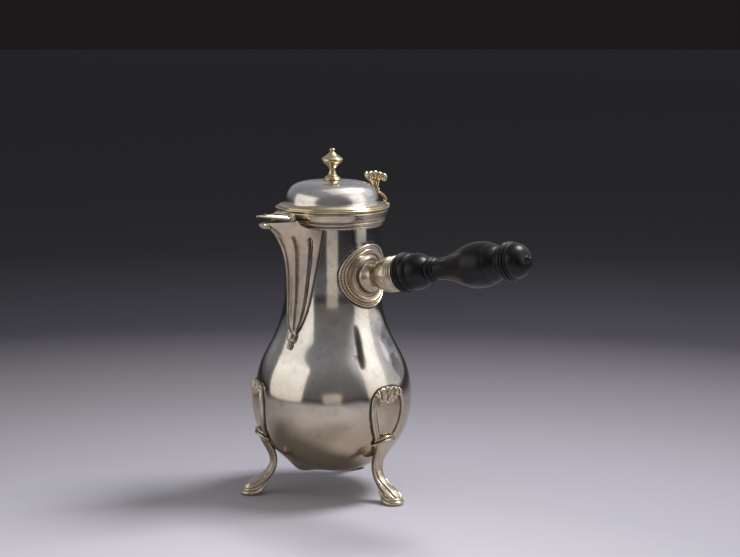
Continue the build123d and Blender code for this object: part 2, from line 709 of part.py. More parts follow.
socket_shape = [
    (0.10, 0.905), (0.135, 0.86), (0.17, 0.77), (0.23, 0.69), (0.33, 0.74), (0.42, 0.84),
    (0.51, 0.94), (0.60, 0.985), (0.69, 1.015), (0.79, 1.0),
]                             # share of the length, share of the radius
cross_pin_place = socket_length * 0.79
pin_proud = 0.4               # how far each end of the cross pin stands out
with BuildPart() as handle_socket:
    with BuildSketch(handle_plane):
        with BuildLine():
            start = (-6, boss_radius)
            side = [(socket_length * along, socket_radius * out) for along, out in socket_shape]
            Line(start, side[0])
            Spline(*side, tangents=[(0.3, -1), (1, -0.1)])
            Polyline(side[-1], (socket_length, socket_radius), (socket_length, 0), (-6, 0), start)
        make_face()
    revolve(axis=handle_axis)
    with BuildSketch(handle_plane):
        with Locations((socket_length, 0)):
            Rectangle(tenon_length, tenon_radius + tenon_clearance, align=(Align.MAX, Align.MIN))
    revolve(axis=handle_axis, mode=Mode.SUBTRACT)
    with BuildSketch(handle_plane):
        with Locations((cross_pin_place, 0)):
            Circle(cross_pin_radius)
    extrude(amount=socket_radius + 1, both=True, mode=Mode.SUBTRACT)
    add(envelope(escutcheon_thickness * escutcheon_rings[-1][2]), mode=Mode.SUBTRACT)
    add(escutcheon.part, mode=Mode.SUBTRACT)
handle_socket.part.label = "handle_socket"

# share of the grip's length, share of its fullest radius
grip_egg = [(0.042, 0.911), (0.067, 0.866), (0.133, 0.796), (0.178, 0.68), (0.227, 0.44)]
grip_rings = [(0.249, 0.46), (0.249, 0.58), (0.262, 0.58), (0.275, 0.47), (0.28, 0.503), (0.293, 0.503), (0.3, 0.471)]
grip_body = [(0.391, 0.56), (0.455, 0.694), (0.529, 0.885), (0.615, 1.0), (0.671, 0.975), (0.729, 0.828),
             (0.782, 0.618), (0.812, 0.68), (0.84, 0.8)]
grip_disc = [(0.84, 0.854), (0.884, 0.854), (0.893, 0.79)]
grip_cap = [(0.942, 0.637), (0.973, 0.318)]
grip_button = [(0.973, 0.121), (1.0, 0.121)]


def grip_point(along, out):
    """Point of the grip's outline on the handle's plane."""
    return (socket_length + grip_length * along, grip_radius * out)


with BuildPart() as handle_grip:
    with BuildSketch(handle_plane):
        with BuildLine():
            egg, rings, swell, disc, cap, button = [
                [grip_point(*share) for share in shares]
                for shares in (grip_egg, grip_rings, grip_body, grip_disc, grip_cap, grip_button)
            ]
            tenon_start = socket_length - tenon_length
            Polyline((tenon_start, 0), (tenon_start, tenon_radius), (socket_length, tenon_radius),
                     grip_point(0, 0.76), grip_point(0.022, 0.76), grip_point(0.022, 0.911), egg[0])
            Spline(*egg)
            Polyline(egg[-1], *rings)
            Spline(rings[-1], *swell)
            Polyline(swell[-1], *disc)
            Spline(disc[-1], *cap)
            Polyline(cap[-1], *button, grip_point(1.0, 0), (tenon_start, 0))
        make_face()
    revolve(axis=handle_axis)
    with BuildSketch(handle_plane):
        with Locations((cross_pin_place, 0)):
            Circle(cross_pin_radius)
    extrude(amount=socket_radius, both=True, mode=Mode.SUBTRACT)
handle_grip.part.label = "handle_grip"

with BuildPart() as handle_pin:
    with BuildSketch(handle_plane):
        with Locations((cross_pin_place, 0)):
            Circle(cross_pin_radius)
    extrude(amount=socket_radius + pin_proud, both=True)
handle_pin.part.label = "handle_pin"

# ================================================================ feet
knee_height = 47.0            # where the leg leaves the shield
knee_radius = vessel_radius(knee_height)
toe_throw = toe_reach - knee_radius
# out from the knee as a share of the toe's throw, share of the knee's height, direction, half width, thickness
leg_stations = [
    (0.09, 1.06, (-0.29, -0.96), 11.0, 6.5),
    (-0.122, 0.83, (-0.65, -0.76), 8.0, 5.5),
    (-0.361, 0.69, (-0.4, -0.92), 5.4, 5.2),
    (-0.444, 0.574, (-0.05, -1), 4.2, 4.9),
    (-0.439, 0.457, (0.2, -0.98), 4.0, 4.8),
    (-0.289, 0.34, (0.6, -0.8), 4.3, 5.2),
    (-0.028, 0.243, (0.82, -0.57), 5.0, 6.3),
    (0.317, 0.16, (0.93, -0.36), 5.9, 8.5),
    (0.65, 0.098, (1, -0.1), 6.4, 10.0),
    (0.85, 0.088, (1, -0.05), 5.4, 8.6),
    (0.985, 0.08, (1, 0), 3.0, 5.0),
]
radial_plane = Plane(origin=(0, 0, 0), x_dir=(0, 1, 0), z_dir=(1, 0, 0))     # seen from outside the foot
shield_outline = [(0.56, 0.0), (0.86, 0.10), (1.0, 0.30), (0.93, 0.58), (0.71, 0.83), (0.53, 1.0)]
shield_foot = knee_height - 7.0
lobe_radius = 2.7
crown_lobes = [(0, 1.2), (5.0, 0.2), (9.0, -2.8)]        # aside, above the shield's top


def shield_plate(inset, thickness):
    """Shield-shaped plate lying on the belly, its edge moved inwards by inset."""
    with BuildPart() as plate:
        with BuildSketch(radial_plane.offset(belly_radius * 0.45)):
            with BuildLine():
                side = [
                    (shield_half_width * out - inset, shield_top - inset - (shield_top - shield_foot - 2 * inset) * down)
                    for out, down in shield_outline
                ]
                Spline(*side)
                Spline(*[(-across, height) for across, height in side])
                Line(side[0], (-side[0][0], side[0][1]))
                Line(side[-1], (-side[-1][0], side[-1][1]))
            make_face()
        extrude(amount=belly_radius)
        add(envelope(thickness), mode=Mode.INTERSECT)
    return plate.part


with BuildPart() as foot:
    add(shield_plate(0, border_height))
    add(shield_plate(shield_border, border_height * 2), mode=Mode.SUBTRACT)
    add(shield_plate(shield_border - 0.01, field_height))
    with BuildPart(mode=Mode.PRIVATE) as relief:
        with BuildSketch(radial_plane.offset(belly_radius * 0.45)):
            with Locations(*[
                (side * aside, shield_top + above) for aside, above in crown_lobes for side in (-1, 1)
            ]):
                Circle(lobe_radius)
            with BuildLine():
                ribbon_top = ThreePointArc((-13, knee_height - 4), (0, knee_height + 4), (13, knee_height - 4))
                ribbon_foot = ThreePointArc((13, knee_height - 8), (0, knee_height - 0.5), (-13, knee_height - 8))
                Line(ribbon_top @ 1, ribbon_foot @ 0)
                Line(ribbon_foot @ 1, ribbon_top @ 0)
            make_face()
        extrude(amount=belly_radius)
        add(envelope(border_height + 0.9), mode=Mode.INTERSECT)
    add(relief.part)
    with BuildPart(mode=Mode.PRIVATE) as leg:
        for out, up, direction, half_width, thickness in leg_stations:
            place = (knee_radius + toe_throw * out, 0, knee_height * up)
            with BuildSketch(Plane(origin=place, x_dir=(0, 1, 0), z_dir=(direction[0], 0, direction[1]))):
                RectangleRounded(2 * half_width, thickness, min(half_width, thickness / 2) * 0.8)
        loft()
        with BuildSketch(Plane.XY):
            Rectangle(4 * toe_reach, toe_reach)
        extrude(amount=-toe_reach / 4, mode=Mode.SUBTRACT)
    add(leg.part)
    add(vessel_envelope, mode=Mode.SUBTRACT)


def placed_foot(label, number):
    """One foot turned to its place around the pot."""
    with BuildPart() as standing:
        with Locations(Location((0, 0, 0), (0, 0, foot_turn + 360 / foot_count * number))):
            add(foot.part)
    standing.part.label = label
    return standing


foot_names = ["foot_under_handle", "foot_beside_hinge", "foot_beside_spout"]
feet = [placed_foot(name, number) for number, name in enumerate(foot_names)]

# ================================================================ files
pieces = [
    vessel, collar, lid_flange, lid_dome, lid_bezel, cover_plate, finial, cover_rivet, lid_hinge_leaf,
    hinge_bracket, lid_hinge_pin, thumbpiece, spout, spout_drop, spout_knuckles, flap_pin, spout_flap,
    escutcheon, handle_socket, handle_grip, handle_pin, *feet,
]
os.makedirs("parts", exist_ok=True)
for piece in pieces:
    export_step(piece.part, f"parts/{piece.part.label}.step")
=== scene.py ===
"""Silver chocolate pot: turned and raised silver, cast feet and fittings, and a turned ebonised handle."""

import math

import bmesh
import bpy
import numpy as np
from mathutils import Matrix, Vector, kdtree, noise


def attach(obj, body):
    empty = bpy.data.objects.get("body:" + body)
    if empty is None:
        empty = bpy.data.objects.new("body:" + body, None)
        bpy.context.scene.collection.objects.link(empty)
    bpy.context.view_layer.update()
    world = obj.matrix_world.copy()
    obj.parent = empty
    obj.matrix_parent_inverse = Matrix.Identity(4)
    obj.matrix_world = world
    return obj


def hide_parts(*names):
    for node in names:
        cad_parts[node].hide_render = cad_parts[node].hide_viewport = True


bl_info = {
    "name": "Silver chocolate pot",
    "version": (1, 0, 0),
    "blender": (4, 5, 0),
    "location": "View3D > Sidebar > Pot",
    "description": "Dresses the packed chocolate pot with its raised silver, castings, turned wood and stage",
    "category": "Object",
}

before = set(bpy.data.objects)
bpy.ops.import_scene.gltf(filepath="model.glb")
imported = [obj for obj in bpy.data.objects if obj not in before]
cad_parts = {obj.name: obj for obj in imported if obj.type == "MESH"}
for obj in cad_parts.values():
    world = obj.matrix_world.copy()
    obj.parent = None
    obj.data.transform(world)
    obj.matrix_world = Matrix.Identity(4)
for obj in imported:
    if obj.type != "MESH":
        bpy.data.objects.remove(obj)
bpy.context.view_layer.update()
MM = 0.001

# ------------------------------------------------------------------ the pot's own lines, in millimetres
NECK_RADIUS = 34.4
MOUTH = 206.4
WALL = 1.2
LID_BASE = 206.7
DOME_SEAT = 211.2
CROWN = 227.2
PLATE_TOP = 228.65
PIVOT = (8.6, 133.0)           # pivot of the cover plate: reach and degrees round from the handle
HINGE = (44.2, 206.8)          # lid hinge: reach and height of its axis
HINGE_TURN = 75.0              # degrees from the handle round to the lid hinge
FLAP_AXIS = (50.7, 204.3)      # flap hinge: reach along the spout and height of its axis
FLAP_AJAR = 8.0                # degrees that the flap stands open at rest
HANDLE_ROOT = (36.0, 160.6)    # reach and height where the handle's axis leaves the neck
HANDLE_TILT = 10.0
PLATE_MIDDLE = 161.2           # height of the handle plate's middle
PLATE_REACH = 22.8             # and the radius of its outer edge
FEET = {"foot_under_handle": -3.0, "foot_beside_hinge": 117.0, "foot_beside_spout": 237.0}


def linear(code):
    """Linear colour of an sRGB hex value such as "c8b99f"."""
    values = [int(code[k : k + 2], 16) / 255 for k in (0, 2, 4)]
    return tuple(v / 12.92 if v <= 0.04045 else ((v + 0.055) / 1.055) ** 2.4 for v in values)


class SilverSettings(bpy.types.PropertyGroup):
    """Colours of the silver and the depth of its hammer waves"""

    colour: bpy.props.FloatVectorProperty(
        name="Silver", description="Clean polished face of the old silver", subtype="COLOR", size=3,
        min=0, max=1, default=linear("e3ded7"),
    )
    tarnish: bpy.props.FloatVectorProperty(
        name="Tarnish", description="Warm film in blotches over the silver", subtype="COLOR", size=3,
        min=0, max=1, default=linear("b8aea1"),
    )
    gilt: bpy.props.FloatVectorProperty(
        name="Gilt tarnish", description="Yellow tarnish of the lid's flange, finial and thumbpiece", subtype="COLOR",
        size=3, min=0, max=1, default=linear("c4ab7c"),
    )
    dents: bpy.props.FloatProperty(
        name="Hammer waves", description="Depth of the unevenness left by raising", unit="LENGTH",
        default=0.00011, min=0, max=0.001,
    )


class WoodSettings(bpy.types.PropertyGroup):
    """Colours of the grip"""

    dark: bpy.props.FloatVectorProperty(
        name="Ebonised wood", description="Stained face of the wood", subtype="COLOR", size=3, min=0, max=1,
        default=linear("0e0d0d"),
    )
    worn: bpy.props.FloatVectorProperty(
        name="Worn wood", description="Brown showing at edges and along the grain", subtype="COLOR", size=3,
        min=0, max=1, default=linear("231d1a"),
    )


class StageSettings(bpy.types.PropertyGroup):
    """Paper sweep and lamps"""

    # pale middle of the paper, where the painted pool of light is brightest
    floor: bpy.props.FloatVectorProperty(
        name="Floor", description="Pale paper under the pot", subtype="COLOR", size=3, min=0, max=1,
        default=linear("eae6ed"),
    )
    backdrop: bpy.props.FloatVectorProperty(
        name="Backdrop", description="Charcoal end of the paper", subtype="COLOR", size=3, min=0, max=1,
        default=linear("1c1a1b"),
    )
    strength: bpy.props.FloatProperty(
        name="Lamps", description="Strength of all lamps together", default=1.0, min=0, max=4, subtype="FACTOR",
    )


# ------------------------------------------------------------------ lines
def smooth(points, steps=8, start=None, end=None):
    """Cubic line through points, with optional directions at its ends, sampled steps times in each span."""
    p = np.array(points, float)
    knots = np.concatenate([[0], np.cumsum(np.linalg.norm(np.diff(p, axis=0), axis=1))])
    h, n = np.diff(knots), len(p)
    a, rhs = np.zeros((n, n)), np.zeros_like(p)
    for i in range(1, n - 1):
        a[i, i - 1 : i + 2] = h[i - 1], 2 * (h[i - 1] + h[i]), h[i]
        rhs[i] = 6 * ((p[i + 1] - p[i]) / h[i] - (p[i] - p[i - 1]) / h[i - 1])
    for row, near, side, way in ((0, 1, start, 1), (n - 1, n - 2, end, -1)):
        a[row, row] = 1
        if side is not None:
            span = h[0] if row == 0 else h[-1]
            unit = np.array(side, float) / np.linalg.norm(side)
            a[row, row], a[row, near] = 2 * span, span
            rhs[row] = 6 * way * ((p[near] - p[row]) * way / span - unit)
    bend = np.linalg.solve(a, rhs)
    line = []
    for i in range(n - 1):
        for s in np.linspace(0, 1, steps, endpoint=False):
            t, u, w = s * h[i], (1 - s) * h[i], h[i]
            line.append(
                (bend[i] * u**3 + bend[i + 1] * t**3) / (6 * w)
                + (p[i] / w - bend[i] * w / 6) * u + (p[i + 1] / w - bend[i + 1] * w / 6) * t
            )
    line.append(p[-1])
    return [tuple(q) for q in line]


def joined(*runs):
    """One line from several runs; a run that starts where the last one ends leaves that point out."""
    line = []
    for run in runs:
        for q in run:
            if not line or math.dist(line[-1], q) > 1e-4:
                line.append(tuple(q))
    return line


def bead(r, z, radius, start, end, steps=8):
    """Arc of a round moulding about (r, z), from one angle to another in degrees."""
    turn = np.radians(np.linspace(start, end, steps))
    return [(r + radius * math.cos(a), z + radius * math.sin(a)) for a in turn]


# ------------------------------------------------------------------ meshes
def mesh_object(name, vertices, faces, angle=38.0):
    """New object from points in millimetres, faces outwards, smooth but for edges sharper than the angle."""
    mesh = bpy.data.meshes.new(name)
    mesh.from_pydata([(x * MM, y * MM, z * MM) for x, y, z in vertices], [], faces)
    work = bmesh.new()
    work.from_mesh(mesh)
    bmesh.ops.remove_doubles(work, verts=work.verts, dist=1e-6)
    bmesh.ops.recalc_face_normals(work, faces=work.faces)
    work.to_mesh(mesh)
    work.free()
    mesh.shade_smooth()
    mesh.set_sharp_from_angle(angle=math.radians(angle))
    obj = bpy.data.objects.new(name, mesh)
    bpy.context.scene.collection.objects.link(obj)
    return obj


def turned_faces(line, turns, place=None, wave=None):
    """Points and faces of a line of (radius, height) turned about the height axis, or about place's Z."""
    vertices, rings = [], []
    for r, z in line:
        if r < 1e-6:
            rings.append([len(vertices)] * turns)
            vertices.append((0.0, 0.0, z))
            continue
        rings.append(range(len(vertices), len(vertices) + turns))
        for k in range(turns):
            a = 2 * math.pi * k / turns
            vertices.append((r * math.cos(a), r * math.sin(a), z))
    faces = []
    closed = line[0][0] > 1e-6 or line[-1][0] > 1e-6
    for i in range(len(rings) if closed else len(rings) - 1):
        low, high = rings[i], rings[(i + 1) % len(rings)]
        for k in range(turns):
            n = (k + 1) % turns
            corners = [low[k], low[n], high[n], high[k]]
            corners = [c for j, c in enumerate(corners) if c not in corners[:j]]
            if len(corners) > 2:
                faces.append(corners)
    if wave:
        vertices = [wave(*v) for v in vertices]
    if place:
        vertices = [tuple(place @ Vector(v)) for v in vertices]
    return vertices, faces


def turned(name, line, turns=192, place=None, wave=None, angle=38.0):
    """Closed turned piece."""
    return mesh_object(name, *turned_faces(line, turns, place, wave), angle=angle)


def skinned(rings):
    """Points and faces of equal rings of points joined into a tube with closed ends."""
    vertices = [tuple(q) for ring in rings for q in ring]
    count, faces = len(rings[0]), []
    for i in range(len(rings) - 1):
        for k in range(count):
            n = (k + 1) % count
            faces.append([i * count + k, i * count + n, (i + 1) * count + n, (i + 1) * count + k])
    faces += [list(range(count))[::-1], list(range((len(rings) - 1) * count, len(rings) * count))]
    return vertices, faces


def merged(*parts):
    """Several (points, faces) pairs as one."""
    vertices, faces = [], []
    for more, corners in parts:
        faces += [[c + len(vertices) for c in face] for face in corners]
        vertices += more
    return vertices, faces


def rod(path, radii, sides):
    """Round-ended rod along a path, its radius given at each point."""
    path = [Vector(p) for p in path]
    rings, side = [], None
    for i, p in enumerate(path):
        along = (path[min(i + 1, len(path) - 1)] - path[max(i - 1, 0)]).normalized()
        side = side or along.orthogonal()
        side = (side - along * side.dot(along)).normalized()
        up = along.cross(side)
        caps = [(0.0, radii[i])]
        if i == 0:
            caps = [(-radii[i] * math.cos(a), radii[i] * math.sin(a)) for a in (0.15, 0.5, 0.85, 1.2)] + caps
        if i == len(path) - 1:
            caps = caps + [(radii[i] * math.cos(a), radii[i] * math.sin(a)) for a in (1.2, 0.85, 0.5, 0.15)]
        for shift, r in caps:
            rings.append([
                p + along * shift + (side * math.cos(a) + up * math.sin(a)) * r
                for a in np.linspace(0, 2 * math.pi, sides, endpoint=False)
            ])
    return skinned(rings)


def add_recess(obj, reach, rounds=4):
    """Point attribute "recess": near 1 in hollows and along inner corners, near -1 on edges, over a reach in mm."""
    mesh = obj.data
    count = len(mesh.vertices)
    co, normal = np.empty(count * 3), np.empty(count * 3)
    mesh.vertices.foreach_get("co", co)
    mesh.vertices.foreach_get("normal", normal)
    co, normal = co.reshape(-1, 3) / MM, normal.reshape(-1, 3)
    ends = np.empty(len(mesh.edges) * 2, dtype=np.int64)
    mesh.edges.foreach_get("vertices", ends)
    a, b = ends.reshape(-1, 2).T
    run = co[b] - co[a]
    length = np.maximum(np.linalg.norm(run, axis=1), 1e-3)
    hollow, links = np.zeros(count), np.zeros(count)
    for near, way in ((a, 1), (b, -1)):
        bend = (normal[near] * run * way).sum(axis=1) / length / np.maximum(length, 0.25)
        np.add.at(hollow, near, bend)
        np.add.at(links, near, 1)
    hollow = np.clip(hollow / np.maximum(links, 1) * reach, -2, 2)
    for _ in range(rounds):
        spread = np.zeros(count)
        np.add.at(spread, a, hollow[b])
        np.add.at(spread, b, hollow[a])
        hollow = 0.5 * hollow + 0.5 * spread / np.maximum(links, 1)
    store = mesh.attributes.new("recess", "FLOAT", "POINT")
    store.data.foreach_set("value", np.clip(hollow, -1, 1).astype(np.float32))


def soil(obj, lines, reach, level=1.0):
    """Raises a piece's "recess" along lines of points where dirt gathers, over a reach in mm."""
    points = [q for line in lines for q in line]
    near = kdtree.KDTree(len(points))
    for i, q in enumerate(points):
        near.insert(q, i)
    near.balance()
    layer = obj.data.attributes["recess"].data
    for vertex, store in zip(obj.data.vertices, layer):
        away = near.find(vertex.co / MM)[2]
        if away < reach:
            store.value = max(store.value, level * (1 - (away / reach) ** 2))


def bake_modifiers(obj):
    """Puts a piece's modifiers into its mesh."""
    shape = bpy.data.meshes.new_from_object(obj.evaluated_get(bpy.context.evaluated_depsgraph_get()))
    obj.modifiers.clear()
    obj.data = shape


def cad_copy(node, name, bevel=0.22):
    """Own piece from a CAD node's shape, its facets merged and its edges eased by a bevel in millimetres."""
    corner = math.radians(35)
    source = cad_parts[node]
    obj = bpy.data.objects.new(name, source.data.copy())
    obj.matrix_world = source.matrix_world
    bpy.context.scene.collection.objects.link(obj)
    obj.data.materials.clear()
    obj.data.transform(obj.matrix_world)
    obj.matrix_world = Matrix()
    work = bmesh.new()
    work.from_mesh(obj.data)
    bmesh.ops.remove_doubles(work, verts=work.verts, dist=2e-6)
    bmesh.ops.dissolve_limit(work, angle_limit=math.radians(0.6), verts=work.verts, edges=work.edges)
    bmesh.ops.recalc_face_normals(work, faces=work.faces)
    work.to_mesh(obj.data)
    work.free()
    ease = obj.modifiers.new("eased edges", "BEVEL")
    ease.width, ease.segments, ease.angle_limit = bevel * MM, 2, corner
    ease.limit_method = "ANGLE"
    bake_modifiers(obj)
    obj.data.shade_smooth()
    obj.data.set_sharp_from_angle(angle=corner)
    return obj


def dress(obj, body, slot, material, *nodes, reach=0.0, rounds=4):
    """Gives a finished piece its hollows, finish, body and the CAD nodes that it stands for."""
    if reach:
        add_recess(obj, reach, rounds)
    obj.data.materials.clear()
    obj.data.materials.append(material)
    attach(obj, body)
    if nodes:
        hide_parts(*nodes)
    return obj


# ------------------------------------------------------------------ materials
def add(tree, kind, inputs=None, **settings):
    """A node with its settings; an input is a value or a socket to link."""
    made = tree.nodes.new(kind)
    for key, value in settings.items():
        setattr(made, key, value)
    for key, value in (inputs or {}).items():
        if isinstance(value, bpy.types.NodeSocket):
            tree.links.new(value, made.inputs[key])
        else:
            made.inputs[key].default_value = value
    return made


def channels(colour):
    """Red, green, blue and alpha of a grey, a linear colour or an sRGB hex value."""
    if isinstance(colour, str):
        colour = linear(colour)
    return (*colour, 1) if isinstance(colour, tuple) else (colour, colour, colour, 1)


def ramp(tree, value, *stops):
    """Colour ramp from (place, colour) stops."""
    made = add(tree, "ShaderNodeValToRGB", {"Fac": value})
    while len(made.color_ramp.elements) < len(stops):
        made.color_ramp.elements.new(0.5)
    for element, (place, colour) in zip(made.color_ramp.elements, stops):
        element.position = place
        element.color = channels(colour)
    return made.outputs["Color"]


def mix(tree, factor, a, b):
    """Mix of two colours."""
    made = add(tree, "ShaderNodeMix", data_type="RGBA")
    for index, value in ((0, factor), (6, a), (7, b)):
        if isinstance(value, bpy.types.NodeSocket):
            tree.links.new(value, made.inputs[index])
        else:
            made.inputs[index].default_value = channels(value) if index else value
    return made.outputs[2]


def math_node(tree, kind, a, b=0.0, c=0.0):
    """Math of two or three values."""
    return add(tree, "ShaderNodeMath", {0: a, 1: b, 2: c}, operation=kind).outputs[0]


def tinted(tree, colour, mask, share, over):
    """Colour covered by another in a share of a mask."""
    return mix(tree, math_node(tree, "MULTIPLY", mask, share), colour, over)


def grain_of(size):
    """Texture scale for features of a size in millimetres."""
    return 1 / (size * MM)


def clouds(tree, place, size, detail, roughness=0.5):
    """Noise with features of a size in millimetres."""
    inputs = {"Vector": place, "Scale": grain_of(size), "Detail": detail, "Roughness": roughness}
    return add(tree, "ShaderNodeTexNoise", inputs).outputs[0]


def wire(tree, shader, **sockets):
    """Links values to the shader's inputs, named with _ for a space."""
    for name, value in sockets.items():
        tree.links.new(value, shader.inputs[name.replace("_", " ")])


def new_material(name):
    """Empty material with its output, Object coordinates and Principled shader."""
    made = bpy.data.materials.new(name)
    made.use_nodes = True
    tree = made.node_tree
    tree.nodes.clear()
    shader = add(tree, "ShaderNodeBsdfPrincipled")
    add(tree, "ShaderNodeOutputMaterial", {"Surface": shader.outputs[0]})
    place = add(tree, "ShaderNodeTexCoord").outputs["Object"]
    return made, tree, shader, place


SCRATCHES = [                  # turn of a set of polishing scratches, and their width in millimetres
    ((0.3, 0.2, 0.5), 0.5), ((1.2, 0.4, 2.1), 0.4), ((0.1, 1.3, 1.0), 0.6), ((2.0, 0.9, 0.1), 0.45),
]
STAINS = [(43.7, 14.8, 122, 19), (51.1, 13.5, 98, 16), (45.2, -21.4, 108, 9)]     # place and reach


def old_silver(name, clean, film, film_share, roughness, patina=1.0, low=0.0, stains=()):
    """Silver raised and cast by hand, polished for two centuries: a soft mirror under a warm film, with polishing
    scratches in every direction, pits, and brown-black sulphide left in the hollows. The scratches are drawn
    wider than real ones, so that they show at arm's length."""
    made, tree, shader, place = new_material(name)
    blotch = clouds(tree, place, 26, 5.0, 0.62)
    colour = tinted(tree, clean, ramp(tree, blotch, (0.36, 0.0), (0.72, 1.0)), film_share, film)
    cool = ramp(tree, clouds(tree, place, 34, 4.0, 0.6), (0.50, 0.0), (0.62, 1.0))
    colour = tinted(tree, colour, cool, 0.27, "949da6")
    if low:
        height = add(tree, "ShaderNodeSeparateXYZ", {"Vector": place}).outputs["Z"]
        wavy = math_node(tree, "MULTIPLY_ADD", blotch, 40 * MM, height)
        foot = ramp(tree, math_node(tree, "MULTIPLY", wavy, 1 / (200 * MM)), (0.36, low), (0.58, 0.0))
        colour = mix(tree, foot, colour, "b5a68b")
    smoke = clouds(tree, place, 7, 8.0, 0.7)
    specks = ramp(tree, smoke, (0.57, 0.0), (0.70, 1.0))
    colour = tinted(tree, colour, specks, 0.38, "85745c")
    for x, y, z, reach in stains:
        near = add(tree, "ShaderNodeVectorMath", {0: place, 1: Vector((-x, -y, -z)) * MM}, operation="ADD").outputs[0]
        near = add(tree, "ShaderNodeVectorMath", {0: near, 1: (1.0, 1.0, 0.55)}, operation="MULTIPLY").outputs[0]
        away = add(tree, "ShaderNodeVectorMath", {0: near}, operation="LENGTH").outputs["Value"]
        away = math_node(tree, "MULTIPLY", away, 1 / (reach * MM))
        away = math_node(tree, "MULTIPLY_ADD", smoke, 1.1, away)
        colour = mix(tree, ramp(tree, away, (0.9, 0.6), (1.35, 0.0)), colour, "565d6b")
    recess = add(tree, "ShaderNodeAttribute", attribute_name="recess").outputs["Fac"]
    ragged = math_node(tree, "SUBTRACT", recess, 0.17)
    ragged = math_node(tree, "MULTIPLY_ADD", clouds(tree, place, 3, 4.0), 0.35, ragged)
    hollow = ramp(tree, ragged, (0.10, 0.0), (0.62, 1.0))
    colour = tinted(tree, colour, hollow, 0.93 * patina, "2c221a")
    # rubbed edges: clean of film where worn, and painted paler than clean silver as a highlight
    edge = ramp(tree, math_node(tree, "MULTIPLY", recess, -1.0), (0.12, 0.0), (0.7, 1.0))
    colour = tinted(tree, colour, edge, 0.55, "f2ece0")

    scratched = 0.0
    for turn, width in SCRATCHES:
        laid = add(tree, "ShaderNodeMapping", {"Vector": place, "Rotation": turn, "Scale": (1.0, 0.045, 1.0)})
        line = ramp(tree, clouds(tree, laid.outputs[0], width, 2.0), (0.66, 0.0), (0.72, 1.0))
        scratched = math_node(tree, "MAXIMUM", scratched, line)
    pits = add(tree, "ShaderNodeTexVoronoi", {"Vector": place, "Scale": grain_of(3.4), "Randomness": 1.0})
    pitted = ramp(tree, pits.outputs["Distance"], (0.0, 1.0), (0.075, 0.0))
    colour = tinted(tree, colour, pitted, 0.5, "4a3c2e")
    rough = math_node(tree, "MULTIPLY_ADD", blotch, 0.16, roughness - 0.08)
    rough = math_node(tree, "MULTIPLY_ADD", hollow, 0.3, rough)
    rough = math_node(tree, "MULTIPLY_ADD", scratched, 0.10, rough)
    relief = math_node(tree, "MULTIPLY", clouds(tree, place, 9, 4.0), 0.8)
    relief = math_node(tree, "MULTIPLY_ADD", scratched, -0.10, relief)
    relief = math_node(tree, "MULTIPLY_ADD", pitted, -0.22, relief)
    bump = add(tree, "ShaderNodeBump", {"Height": relief, "Strength": 0.35, "Distance": 0.12 * MM})
    shader.inputs["Metallic"].default_value = 1.0
    wire(tree, shader, Base_Color=colour, Roughness=rough, Normal=bump.outputs[0])
    return made


def ebonised_wood(settings):
    """Close-grained wood stained black and waxed: a satin face with fine pores along the handle, faint turning
    marks round it, and brown showing through where hands have worn the edges."""
    made, tree, shader, place = new_material("ebonised turned wood")
    lie = (0, math.radians(HANDLE_TILT), 0)
    along = add(tree, "ShaderNodeMapping", {"Vector": place, "Rotation": lie, "Scale": (0.07, 1.0, 1.0)}).outputs[0]
    fibre = clouds(tree, along, 1.1, 6.0, 0.65)
    streak = ramp(tree, fibre, (0.42, 0.0), (0.70, 1.0))
    colour = tinted(tree, tuple(settings.dark), streak, 0.42, tuple(settings.worn))
    colour = tinted(tree, colour, clouds(tree, along, 9, 3.0), 0.25, "0c0b0b")
    recess = add(tree, "ShaderNodeAttribute", attribute_name="recess").outputs["Fac"]
    edge = ramp(tree, math_node(tree, "MULTIPLY", recess, -1.0), (0.10, 0.0), (0.6, 1.0))
    colour = tinted(tree, colour, edge, 0.5, "3b322b")
    hollow = ramp(tree, recess, (0.08, 0.0), (0.5, 1.0))
    colour = tinted(tree, colour, hollow, 0.7, "080707")
    round_it = add(tree, "ShaderNodeMapping", {"Vector": place, "Rotation": lie, "Scale": (1.0, 0.02, 0.02)})
    marks = math_node(tree, "MULTIPLY", clouds(tree, round_it.outputs[0], 0.9, 3.0), 0.8)
    relief = math_node(tree, "MULTIPLY_ADD", streak, -0.5, marks)
    bump = add(tree, "ShaderNodeBump", {"Height": relief, "Strength": 0.5, "Distance": 0.10 * MM})
    rough = math_node(tree, "MULTIPLY_ADD", fibre, 0.16, 0.22)
    wire(tree, shader, Base_Color=colour, Roughness=rough, Normal=bump.outputs[0])
    shader.inputs["IOR"].default_value = 1.36
    return made


def finish(kind):
    """The finish of a kind, made once."""
    found = bpy.data.materials.get(kind)
    if found:
        return found
    if kind == "ebonised turned wood":
        return ebonised_wood(bpy.context.scene.pot_wood)
    silver = bpy.context.scene.pot_silver
    clean, film, gilt = tuple(silver.colour), tuple(silver.tarnish), tuple(silver.gilt)
    silvers = {                # face, film, its share, roughness, dirt in hollows, yellowing low down, stains
        "old polished silver": (clean, film, 0.75, 0.13, 1.0, 0.9, STAINS),
        "softly polished silver": (clean, film, 0.5, 0.21),
        "chased tarnished silver": (linear("a39a8c"), "7d7262", 1.0, 0.32, 1.0),
        "cast silver": (linear("dacfbb"), "b2a086", 1.0, 0.24, 0.75, 0.3),
        "gilt tarnished silver": (linear("dccfae"), gilt, 1.0, 0.19, 0.85),
        "dull silver inside": (linear("a79c8b"), "6f6250", 1.0, 0.40, 0.6),
        # painted shade: near-black silver for faces in the spout's shadow and under its covers
        "silver painted dark as shade inside the spout": (linear("4a4138"), "2b241e", 1.0, 0.45, 0.6),
    }
    return old_silver(kind, *silvers[kind])


